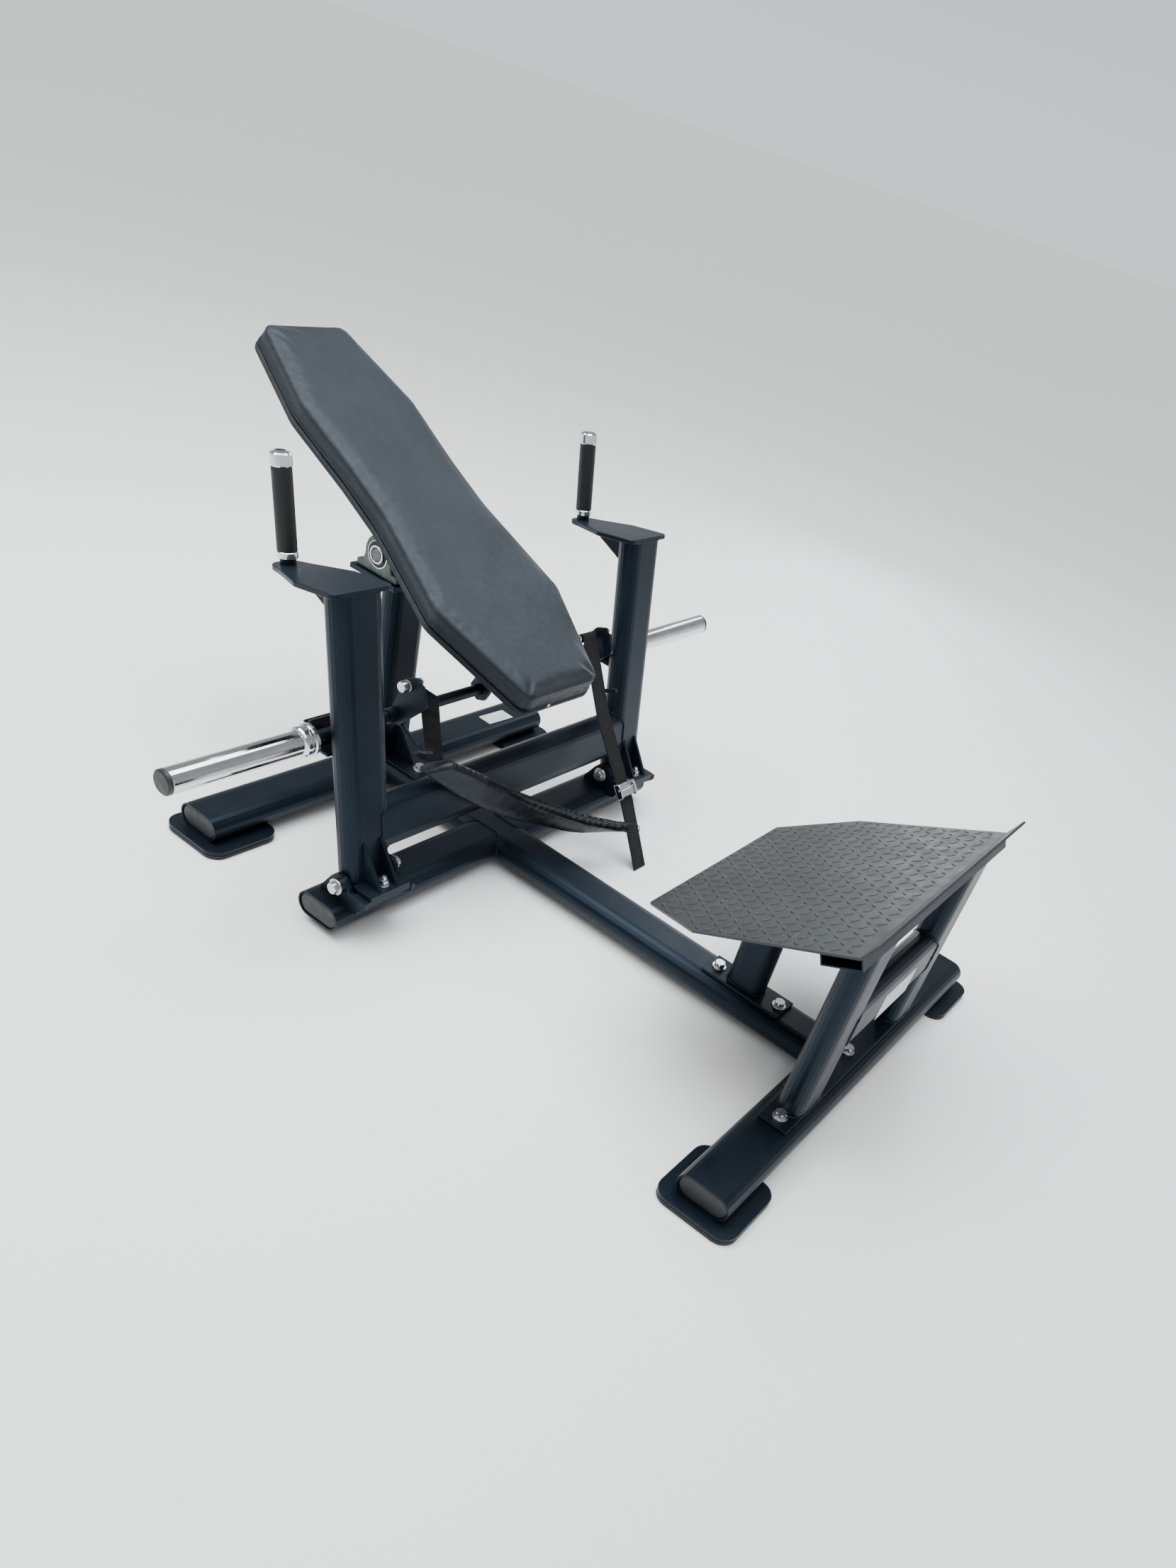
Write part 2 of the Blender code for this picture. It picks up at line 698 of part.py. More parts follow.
def build_bearing_stand():
    frame = axes(pad_point(SHAFT_S, SHAFT_N), Y_AXIS, X_AXIS)
    seat_top = -BLOCK_DROP - GAP
    post = oval_pipe("centre_post", BEAM_TOP + 0.0083, 0.62, axes((0, POST_Y, 0), X_AXIS, Z_AXIS))
    cut(post, block("trim", (-0.3, seat_top - SEAT_T + 0.002, -0.3), (0.3, 0.3, 0.3), frame))
    seat = block("seat", (-0.070, seat_top - SEAT_T, -0.108), (0.075, seat_top, 0.108), frame)
    add(post, soften(seat, 0.0012))
    finish(post, "black_paint")
    base = block("post_base", (-0.042, 0.242, BEAM_TOP + GAP), (0.042, 0.455, BEAM_TOP + 0.008))
    soften(base, 0.0012)
    front = POST_Y - TUBE_H / 2 - GAP
    gusset = [(front, BEAM_TOP + 0.006), (front, 0.165), (front - 0.008, 0.165),
              (0.300, BEAM_TOP + 0.014), (0.300, BEAM_TOP + 0.006)]
    add(base, side_plate("gusset", gusset, -0.004, 0.004))
    finish(base, "black_paint")
    outline = [(-0.063, -0.045), (0.065, -0.045), (0.065, -0.031), (0.046, -0.029), (0.040, -0.010)]
    arc = [(0.041 * cos(radians(a)), 0.041 * sin(radians(a))) for a in range(0, 181, 15)]
    outline = outline + arc + [(-0.040, -0.010), (-0.046, -0.029), (-0.063, -0.031)]
    for side, label in SIDES:
        low, high = sorted((side * BLOCK_IN, side * BLOCK_OUT))
        housing = prism("pillow_block_" + label, outline, low, high, frame)
        soften(housing, 0.002, 60)
        cut(housing, prism("bore", circle(BORE_R, 48), low - 0.01, high + 0.01, frame))
        finish(housing, "cast_housing")


def build_footplate():
    frame = footplate_frame()
    outline = [(-0.259, 0.0), (0.259, 0.0), (0.356, 0.166), (0.360, 0.510), (-0.360, 0.510),
               (-0.356, 0.166)]
    outline = rounded(outline, [0.006, 0.006, 0.010, 0, 0, 0.010], 3)
    plate = prism("footplate", outline, -PLATE_T, 0, frame)
    lip = [(0.506, -PLATE_T), (0.5120, -PLATE_T), (0.5505, 0.0248), (0.5474, 0.0288),
           (0.5100, 0.0), (0.506, 0.0)]
    rings = []
    for x in (-0.360, 0.360):
        rings.append([frame @ Vector((x, y, z)) for y, z in lip])
    finish(add(plate, loft("lip", rings)), "tread")
    low, high = RAIL_LOW, -PLATE_T - GAP
    outer = [(0.430, low), (0.520 - 0.008, low), (0.520 - 0.008, high), (0.430, high)]
    inner = [(0.433, low + 0.003), (0.509, low + 0.003), (0.509, high - 0.003), (0.433, high - 0.003)]
    across = axes(PLATE_ORIGIN, (0, -cos(PLATE_TILT), sin(PLATE_TILT)), (-1, 0, 0))
    rail = pipe("footplate_rail", outer, inner, -0.352, 0.352, across)
    finish(rail, "black_paint")
    build_stand(frame)


def build_stand(plate_frame):
    base = block("front_stand", (-0.332, -1.076, BEAM_TOP + GAP), (0.332, -1.008, BEAM_TOP + 0.008))
    soften(base, 0.0012)
    trim_low = RAIL_LOW - GAP
    for side, label in SIDES:
        leg = oval_pipe("leg", BEAM_TOP + 0.004, 0.60, axes((side * LEG_X, LEG_Y, 0), X_AXIS, Z_AXIS))
        cut(leg, block("trim", (-0.5, -0.5, trim_low), (0.5, 1.0, 0.5), plate_frame))
        add(base, leg)
    finish(base, "black_paint")
    brace = oval_pipe("front_brace", -LEG_X, LEG_X, axes((0, LEG_Y, 0.283), Z_AXIS, X_AXIS))
    for side, label in SIDES:
        cut(brace, oval_cutter(0.1, 0.5, axes((side * LEG_X, LEG_Y, 0), X_AXIS, Z_AXIS)))
    finish(brace, "black_paint")
    rear = block("rear_leg", (-0.038, -0.877, BEAM_TOP + GAP), (0.038, -0.667, BEAM_TOP + 0.008))
    soften(rear, 0.0012)
    leg_frame = axes((0, BACK_LEG_Y, 0), Y_AXIS, Z_AXIS)
    leg = oval_pipe("leg", BEAM_TOP + 0.004, 0.60, leg_frame, 0.094, 0.050)
    cut(leg, block("trim", (-0.5, -0.5, -PLATE_T - GAP), (0.5, 1.0, 0.5), plate_frame))
    finish(add(rear, leg), "black_paint")


BELT_FRONT = [(-0.250, -0.043, 0.346), (-0.170, -0.072, 0.304), (-0.060, -0.107, 0.241),
              (0.020, -0.138, 0.201), (0.110, -0.187, 0.165), (0.238, -0.269, 0.132)]
BELT_BACK = [(-0.306, 0.000, 0.323), (-0.200, -0.047, 0.242), (-0.078, -0.070, 0.170),
             (0.024, -0.096, 0.131), (0.130, -0.147, 0.101), (0.246, -0.197, 0.102)]


def smooth_path(points, steps=4):
    """Catmull-Rom points between the given ones."""
    knots = [Vector(p) for p in points]
    knots = [knots[0] * 2 - knots[1]] + knots + [knots[-1] * 2 - knots[-2]]
    result = []
    for i in range(1, len(knots) - 2):
        a, b, c, d = knots[i - 1:i + 3]
        for j in range(steps):
            t = j / steps
            point = b * 2 + (c - a) * t + (a * 2 - b * 5 + c * 4 - d) * t ** 2
            result.append((point + (b * 3 - a - c * 3 + d) * t ** 3) / 2)
    result.append(knots[-2])
    return result


def build_belt():
    """A padded band between its front and back edges; the section is thinner than it is wide."""
    front = smooth_path(BELT_FRONT)
    back = smooth_path(BELT_BACK)
    half = BELT_T / 2
    rings = []
    for i, (near, far) in enumerate(zip(front, back)):
        along = (front[min(i + 1, len(front) - 1)] - front[max(i - 1, 0)]).normalized()
        broad = far - near
        width = broad.length
        broad.normalize()
        thick = along.cross(broad).normalized()
        corners = [(-half, 0), (half, 0), (half, width), (-half, width)]
        section = rounded(corners, 0.0115, 5)
        rings.append([near + thick * u + broad * v for u, v in section])
    finish(loft("belt", rings), "webbing")
    build_straps()


def build_straps():
    loop = [(0.0600, 0.478), (0.0566, 0.5015), (0.0536, 0.5068), (0.0480, 0.5088), (0.0423, 0.5066)]
    path = loop + [(-0.050, 0.338), (-0.181, 0.160), (-0.226, 0.084), (-0.262, 0.022), (-0.274, 0.002)]
    finish(ribbon("strap_right", path, STRAP_IN, STRAP_OUT, STRAP_T), "webbing")
    outline = [(0.049, 0.496), (-0.009, 0.495), (-0.047, 0.366), (-0.003, 0.338)]
    low = LEFT_STRAP_X - STRAP_T / 2
    finish(side_plate("strap_left", outline, low, low + STRAP_T, -1), "webbing")


def buckle_frame_axes():
    """Origin on the strap's front face, local y up the strap, local z out of it."""
    out = Vector((0, -0.805, 0.593))
    origin = Vector((0.279, -0.165, 0.1817)) + out * STRAP_T / 2
    return axes(origin, X_AXIS, out)


def build_buckle():
    frame = buckle_frame_axes()
    body = block("buckle_frame", (-0.031, -0.020, -0.0055), (0.031, 0.020, -0.0034), frame)
    for side in (-1, 1):
        low, high = sorted((side * 0.0262, side * 0.0300))
        add(body, block("cheek", (low, -0.018, -0.0045), (high, 0.018, 0.014), frame))
    add(body, block("bridge", (-0.029, 0.010, 0.0022), (0.029, 0.017, 0.0042), frame))
    finish(body, "chrome")
    lever = block("buckle_lever", (-0.0255, -0.016, 0.0085), (0.0255, 0.004, 0.0105), frame)
    rod_frame = frame @ axes((0, 0.004, 0.0095), Y_AXIS, X_AXIS)
    add(lever, lathe("rod", [(0.004, -0.0256), (0.004, 0.0256)], rod_frame, 16))
    finish(lever, "chrome")


def footprint_shift():
    """How far everything moves along Y to bring the origin to the middle of the footprint."""
    reach = [vertex.co.y for obj in bpy.data.objects for vertex in obj.data.vertices]
    return Vector((0, -(min(reach) + max(reach)) / 2, 0))


def place_origins():
    """Move the machine over its origin and set each moving piece's origin on its own axis."""
    shift = footprint_shift()
    lever_axis = buckle_frame_axes() @ Vector((0, 0.004, 0.0095))
    turning = {"buckle_lever": lever_axis}
    for name in ("pad_cushion", "backing_board", "pad_carrier", "pad_shaft"):
        turning[name] = pad_point(SHAFT_S, SHAFT_N)
    for name in ("weight_bar", "sleeve_left", "sleeve_right", "sleeve_cap_left", "sleeve_cap_right",
                 "belt", "strap_left", "strap_right", "buckle_frame"):
        turning[name] = Vector((0, BAR_Y, BAR_Z))
    for obj in bpy.data.objects:
        point = turning.get(obj.name, Vector((0, 0, 0)) - shift)
        obj.data.transform(Matrix.Translation(-point))
        obj.location = point + shift
    bpy.context.view_layer.update()


def main():
    for obj in list(bpy.data.objects):
        bpy.data.objects.remove(obj)
    build_floor_frame()
    build_end_caps()
    build_feet()
    build_uprights()
    build_raised_cross_tube()
    build_clevises()
    build_handles()
    build_bar()
    build_pad()
    build_pad_frame()
    build_bearing_stand()
    build_footplate()
    build_belt()
    build_buckle()
    place_origins()


main()
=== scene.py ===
import json
from math import cos, pi, radians, sin, sqrt, tan

import bmesh
import bpy
from mathutils import Matrix, Vector, noise
from mathutils.bvhtree import BVHTree


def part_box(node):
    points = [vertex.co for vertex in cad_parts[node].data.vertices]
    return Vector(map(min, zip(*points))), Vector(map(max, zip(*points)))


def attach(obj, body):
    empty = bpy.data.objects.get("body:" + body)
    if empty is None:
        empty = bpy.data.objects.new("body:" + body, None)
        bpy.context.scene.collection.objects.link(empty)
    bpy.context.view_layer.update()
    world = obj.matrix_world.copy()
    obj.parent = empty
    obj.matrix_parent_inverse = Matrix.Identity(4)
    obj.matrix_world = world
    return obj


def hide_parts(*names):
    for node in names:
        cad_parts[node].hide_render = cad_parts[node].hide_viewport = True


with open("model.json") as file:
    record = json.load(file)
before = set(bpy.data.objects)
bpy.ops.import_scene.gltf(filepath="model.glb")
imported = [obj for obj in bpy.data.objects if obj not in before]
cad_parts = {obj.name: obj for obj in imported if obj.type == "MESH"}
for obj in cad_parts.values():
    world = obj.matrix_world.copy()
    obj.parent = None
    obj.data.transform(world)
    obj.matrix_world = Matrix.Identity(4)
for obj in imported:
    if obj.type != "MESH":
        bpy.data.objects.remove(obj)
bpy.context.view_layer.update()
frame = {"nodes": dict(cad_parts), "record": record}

X_AXIS = Vector((1, 0, 0))
Y_AXIS = Vector((0, 1, 0))
Z_AXIS = Vector((0, 0, 1))
SIDES = (-1, 1)

# The frame's own sizes, in metres. They are laid out from the crossing of the spine and the
# middle beam; placed() moves them to where that crossing stands in the frame.
TUBE_W = 0.120
TUBE_H = 0.060
BEAM_TOP = 0.080
LEAN = radians(10.05)
UPRIGHT_X = 0.460
UPRIGHT_Y = -0.0278
PAD_ORIGIN = Vector((0, -0.127, 0.506))
PAD_TILT = radians(26.7)
FOAM_T = 0.050
SHAFT_S = 0.507
SHAFT_N = -0.143
PLATE_ORIGIN = Vector((0, -0.602, 0.326))
PLATE_TILT = radians(25.25)
BAR = Vector((0, 0.078, 0.419))
PIN = Vector((0, 0.048, 0.500))


def axes(origin, x_dir, z_dir):
    z = Vector(z_dir).normalized()
    x = Vector(x_dir).normalized()
    columns = Matrix((x, z.cross(x), z)).transposed().to_4x4()
    return Matrix.Translation(Vector(origin)) @ columns


def crossing():
    low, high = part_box("middle_beam_left")
    return Vector((0, (low[1] + high[1]) / 2, 0))


SHIFT = crossing()


def placed(point):
    return Vector(point) + SHIFT


def upright_frame(side):
    return axes((side * UPRIGHT_X, UPRIGHT_Y, BEAM_TOP), X_AXIS, (0, sin(LEAN), cos(LEAN)))


def pad_face_frame():
    return axes(PAD_ORIGIN, X_AXIS, (0, -sin(PAD_TILT), cos(PAD_TILT)))


def footplate_frame():
    return axes(PLATE_ORIGIN, (-1, 0, 0), (0, sin(PLATE_TILT), cos(PLATE_TILT)))


def pad_point(s, n):
    return pad_face_frame() @ Vector((0, s, n))


# ---------------------------------------------------------------- materials


class Surface:
    """A Principled material and short helpers for its nodes."""

    def __init__(self, name, colour, roughness, metallic=0.0, specular=0.5):
        self.material = bpy.data.materials.new(name)
        self.material.use_nodes = True
        self.tree = self.material.node_tree
        self.shader = self.tree.nodes["Principled BSDF"]
        self.shader.inputs["Base Color"].default_value = (*colour, 1)
        self.shader.inputs["Roughness"].default_value = roughness
        self.shader.inputs["Metallic"].default_value = metallic
        self.shader.inputs["Specular IOR Level"].default_value = specular
        self.coord = self.tree.nodes.new("ShaderNodeTexCoord").outputs["Object"]
        self.normal = None

    def add(self, kind, **settings):
        node = self.tree.nodes.new(kind)
        for key, value in settings.items():
            setattr(node, key, value)
        return node

    def link(self, output, socket):
        self.tree.links.new(output, socket)

    def mapped(self, scale, turn):
        node = self.add("ShaderNodeMapping")
        self.link(self.coord, node.inputs["Vector"])
        node.inputs["Scale"].default_value = scale
        node.inputs["Rotation"].default_value = turn
        return node.outputs["Vector"]

    def noise(self, scale, detail=3.0, rough=0.5, coord=None):
        node = self.add("ShaderNodeTexNoise")
        self.link(coord or self.coord, node.inputs["Vector"])
        node.inputs["Scale"].default_value = scale
        node.inputs["Detail"].default_value = detail
        node.inputs["Roughness"].default_value = rough
        return node.outputs["Fac"]

    def cells(self, scale, feature="F1"):
        node = self.add("ShaderNodeTexVoronoi", feature=feature)
        self.link(self.coord, node.inputs["Vector"])
        node.inputs["Scale"].default_value = scale
        return node.outputs["Distance"]

    def wave(self, scale, direction):
        node = self.add("ShaderNodeTexWave", bands_direction=direction)
        self.link(self.coord, node.inputs["Vector"])
        node.inputs["Scale"].default_value = scale
        return node.outputs["Fac"]

    def remap(self, value, low, high, start=0.0, end=1.0):
        node = self.add("ShaderNodeMapRange")
        self.link(value, node.inputs["Value"])
        node.inputs["From Min"].default_value = start
        node.inputs["From Max"].default_value = end
        node.inputs["To Min"].default_value = low
        node.inputs["To Max"].default_value = high
        return node.outputs["Result"]

    def maths(self, first, second, operation="MULTIPLY"):
        node = self.add("ShaderNodeMath", operation=operation)
        for value, socket in ((first, node.inputs[0]), (second, node.inputs[1])):
            if isinstance(value, (int, float)):
                socket.default_value = value
            else:
                self.link(value, socket)
        return node.outputs["Value"]

    def blend(self, factor, first, second):
        node = self.add("ShaderNodeMix", data_type="RGBA")
        self.link(factor, node.inputs["Factor"])
        for value, letter in ((first, "A"), (second, "B")):
            socket = [s for s in node.inputs if s.name == letter and s.type == "RGBA"][0]
            if isinstance(value, tuple):
                socket.default_value = (*value, 1)
            else:
                self.link(value, socket)
        return [s for s in node.outputs if s.type == "RGBA"][0]

    def bump(self, height, strength, distance):
        node = self.add("ShaderNodeBump")
        node.inputs["Strength"].default_value = strength
        node.inputs["Distance"].default_value = distance
        self.link(height, node.inputs["Height"])
        if self.normal:
            self.link(self.normal, node.inputs["Normal"])
        self.normal = node.outputs["Normal"]
        self.link(self.normal, self.shader.inputs["Normal"])

    def colour(self, output):
        self.link(output, self.shader.inputs["Base Color"])

    def roughness(self, output):
        self.link(output, self.shader.inputs["Roughness"])


def scratches(surface, scale, stretch, turn, threshold):
    """Sparse fine lines, as a 0 to 1 mask."""
    coord = surface.mapped(stretch, turn)
    value = surface.noise(scale, 2.0, 0.6, coord)
    return surface.remap(value, 0.0, 1.0, threshold, threshold + 0.06)


def paint_surface():
    dark = (0.0024, 0.0042, 0.0070)
    light = (0.0056, 0.0090, 0.0140)
    s = Surface("black_powder_coat", dark, 0.40, 0.0, 0.24)
    s.shader.inputs["Specular Tint"].default_value = (0.52, 0.74, 1.0, 1)
    grit = s.noise(750, 2.0, 0.6)
    broad = s.noise(5.5, 4.0, 0.6)
    tone = s.blend(s.remap(broad, 0, 1, 0.35, 0.75), dark, light)
    marks = s.maths(scratches(s, 9, (1, 14, 3), (0.4, 0.9, 0.2), 0.735), 0.35)
    tone = s.blend(marks, tone, (0.040, 0.046, 0.056))
    dust = s.maths(s.remap(s.noise(140, 3.0, 0.7), 0, 1, 0.66, 0.80), 0.22)
    tone = s.blend(dust, tone, (0.045, 0.050, 0.058))
    s.colour(tone)
    wear = s.remap(broad, 0.33, 0.47, 0.3, 0.75)
    s.roughness(s.maths(wear, s.remap(grit, -0.05, 0.07), "ADD"))
    s.bump(s.noise(60, 2.0, 0.5), 0.25, 0.0004)
    s.bump(grit, 0.35, 0.00022)
    return s.material


def chrome_surface():
    s = Surface("polished_chrome", (0.80, 0.81, 0.83), 0.06, 1.0)
    smudge = s.noise(22, 4.0, 0.6)
    s.colour(s.blend(s.remap(smudge, 0, 1, 0.3, 0.8), (0.72, 0.73, 0.75), (0.56, 0.57, 0.59)))
    s.roughness(s.remap(s.maths(smudge, s.noise(260, 2.0, 0.7)), 0.045, 0.16, 0.1, 0.5))
    s.bump(s.noise(14, 2.0, 0.5), 0.10, 0.0008)
    return s.material


def zinc_surface():
    s = Surface("bright_zinc", (0.60, 0.61, 0.63), 0.24, 1.0)
    spots = s.noise(300, 3.0, 0.6)
    s.colour(s.blend(s.remap(spots, 0, 1, 0.35, 0.7), (0.68, 0.69, 0.71), (0.42, 0.43, 0.45)))
    s.roughness(s.remap(spots, 0.17, 0.38, 0.3, 0.7))
    s.bump(s.noise(900, 2.0, 0.5), 0.2, 0.0001)
    return s.material


def shaft_surface():
    s = Surface("oiled_shaft_steel", (0.10, 0.105, 0.11), 0.34, 1.0)
    rings = s.noise(180, 3.0, 0.6)
    s.colour(s.blend(s.remap(rings, 0, 1, 0.3, 0.7), (0.060, 0.064, 0.070), (0.15, 0.155, 0.16)))
    s.roughness(s.remap(rings, 0.28, 0.44, 0.3, 0.7))
    s.bump(s.noise(700, 2.0, 0.5), 0.2, 0.0001)
    return s.material


def cast_surface():
    s = Surface("cast_housing_paint", (0.045, 0.070, 0.062), 0.5, 0.0)
    grain = s.noise(420, 3.0, 0.7)
    blotch = s.noise(40, 3.0, 0.6)
    s.colour(s.blend(s.remap(blotch, 0, 1, 0.35, 0.7), (0.035, 0.056, 0.050), (0.085, 0.112, 0.100)))
    s.roughness(s.remap(grain, 0.38, 0.62, 0.3, 0.7))
    s.bump(grain, 0.6, 0.0006)
    return s.material


def vinyl_surface(name, dark, light, roughness=(0.42, 0.58)):
    s = Surface(name, dark, 0.5, 0.0, 0.28)
    s.shader.inputs["Specular Tint"].default_value = (0.72, 0.86, 1.0, 1)
    pores = s.cells(620)
    creases = s.cells(260, "DISTANCE_TO_EDGE")
    broad = s.noise(9, 4.0, 0.6)
    s.colour(s.blend(s.remap(broad, 0, 1, 0.3, 0.75), dark, light))
    s.roughness(s.remap(s.noise(60, 4.0, 0.6), roughness[0], roughness[1], 0.3, 0.7))
    s.shader.inputs["Sheen Weight"].default_value = 0.05
    s.shader.inputs["Sheen Roughness"].default_value = 0.45
    s.bump(s.remap(creases, 0, 1, 0.0, 0.12), 0.30, 0.00025)
    s.bump(pores, 0.22, 0.00016)
    return s.material


def rubber_surface():
    colour = (0.0042, 0.0052, 0.0068)
    s = Surface("black_rubber", colour, 0.75, 0.0, 0.35)
    speck = s.remap(s.cells(420), 1.0, 0.0, 0.05, 0.16)
    s.colour(s.blend(s.maths(speck, 0.25), colour, (0.030, 0.033, 0.038)))
    s.roughness(s.remap(s.noise(80, 3.0, 0.6), 0.42, 0.60, 0.3, 0.7))
    s.bump(s.noise(500, 3.0, 0.6), 0.30, 0.0002)
    return s.material


def plastic_surface():
    s = Surface("moulded_plastic", (0.016, 0.017, 0.020), 0.5, 0.0)
    grain = s.noise(1100, 2.0, 0.5)
    s.colour(s.blend(s.noise(16, 3.0, 0.5), (0.0050, 0.0062, 0.0082), (0.0105, 0.0125, 0.0155)))
    s.roughness(s.remap(s.noise(45, 3.0, 0.5), 0.42, 0.6, 0.3, 0.7))
    s.bump(grain, 0.35, 0.0002)
    return s.material


def webbing_surface():
    colour = (0.0026, 0.0030, 0.0042)
    s = Surface("nylon_webbing", colour, 0.7, 0.0, 0.12)
    across = s.wave(520, "X")
    along = s.wave(430, "Z")
    weave = s.maths(across, along)
    s.colour(s.blend(weave, colour, (0.0085, 0.0095, 0.0125)))
    s.roughness(s.remap(s.noise(120, 3.0, 0.6), 0.6, 0.85, 0.3, 0.7))
    s.shader.inputs["Sheen Weight"].default_value = 0.04
    s.bump(weave, 0.7, 0.0005)
    return s.material


def tread_surface():
    s = Surface("tread_plate_paint", (0.016, 0.019, 0.021), 0.5, 0.0, 0.4)
    broad = s.noise(7, 5.0, 0.6)
    tone = s.blend(s.remap(broad, 0, 1, 0.3, 0.75), (0.0105, 0.0130, 0.0145), (0.0200, 0.0235, 0.0258))
    marks = s.maths(scratches(s, 7, (1, 11, 2), (0.1, 0.3, 0.8), 0.70), 0.45)
    tone = s.blend(marks, tone, (0.070, 0.074, 0.080))
    s.colour(tone)
    s.roughness(s.remap(s.noise(30, 4.0, 0.6), 0.40, 0.56, 0.3, 0.7))
    s.bump(s.noise(700, 3.0, 0.6), 0.35, 0.00025)
    return s.material


def brass_surface():
    s = Surface("brass_snap", (0.72, 0.50, 0.20), 0.28, 1.0)
    s.roughness(s.remap(s.noise(400, 3.0, 0.6), 0.2, 0.42, 0.3, 0.7))
    s.bump(s.noise(900, 2.0, 0.6), 0.3, 0.0001)
    return s.material


def label_surface():
    s = Surface("blank_label", (0.62, 0.66, 0.66), 0.42, 0.0)
    blotch = s.remap(s.noise(60, 3.0, 0.6), 0, 1, 0.35, 0.7)
    s.colour(s.blend(blotch, (0.66, 0.70, 0.70), (0.54, 0.58, 0.59)))
    s.roughness(s.remap(s.noise(200, 2.0, 0.5), 0.35, 0.5, 0.3, 0.7))
    s.bump(s.noise(90, 2.0, 0.5), 0.2, 0.0002)
    return s.material


PAINT = paint_surface()
CHROME = chrome_surface()
ZINC = zinc_surface()
SHAFT = shaft_surface()
CAST = cast_surface()
VINYL = vinyl_surface("pad_vinyl", (0.0095, 0.0122, 0.0155), (0.0150, 0.0188, 0.0232))
SEAM = vinyl_surface("seam_piping", (0.0030, 0.0036, 0.0050), (0.0070, 0.0082, 0.0105))
BELT_SKIN = vinyl_surface("belt_skin", (0.0026, 0.0030, 0.0042), (0.0065, 0.0074, 0.0098), (0.30, 0.44))
BOARD = vinyl_surface("backing_cover", (0.0036, 0.0046, 0.0060), (0.0065, 0.0080, 0.0100), (0.45, 0.6))
RUBBER = rubber_surface()
PLASTIC = plastic_surface()
WEBBING = webbing_surface()
TREAD = tread_surface()
BRASS = brass_surface()
LABEL = label_surface()

BY_SLOT = {
    "black_paint": PAINT, "chrome": CHROME, "cast_housing": CAST, "vinyl": VINYL, "board": BOARD,
    "rubber": RUBBER, "plastic": PLASTIC, "webbing": WEBBING, "tread": TREAD,
}


def dress_cad_nodes():
    slots = {row["node"]: row["material_slot"] for row in frame["record"]["subparts"]}
    for name, obj in frame["nodes"].items():
        material = SHAFT if name == "pad_shaft" else BY_SLOT[slots[name]]
        for slot in obj.material_slots:
            slot.material = material


# ---------------------------------------------------------------- mesh helpers


def piece(name, verts, faces, material, body, smooth):
    """A mesh that rides a body; its points are moved from the layout to the frame's own place."""
    mesh = bpy.data.meshes.new(name)
    mesh.from_pydata([tuple(v) for v in verts], [], faces)
    bm = bmesh.new()
    bm.from_mesh(mesh)
    bmesh.ops.recalc_face_normals(bm, faces=bm.faces[:])
    bm.to_mesh(mesh)
    bm.free()
    mesh.transform(Matrix.Translation(SHIFT))
    mesh.materials.append(material)
    mesh.shade_smooth()
    mesh.set_sharp_from_angle(angle=radians(smooth))
    obj = bpy.data.objects.new(name, mesh)
    bpy.context.scene.collection.objects.link(obj)
    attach(obj, body)
    return obj


def ring_points(radius, z, place, steps=20):
    angles = [2 * pi * j / steps for j in range(steps)]
    return [place @ Vector((radius * cos(angle), radius * sin(angle), z)) for angle in angles]


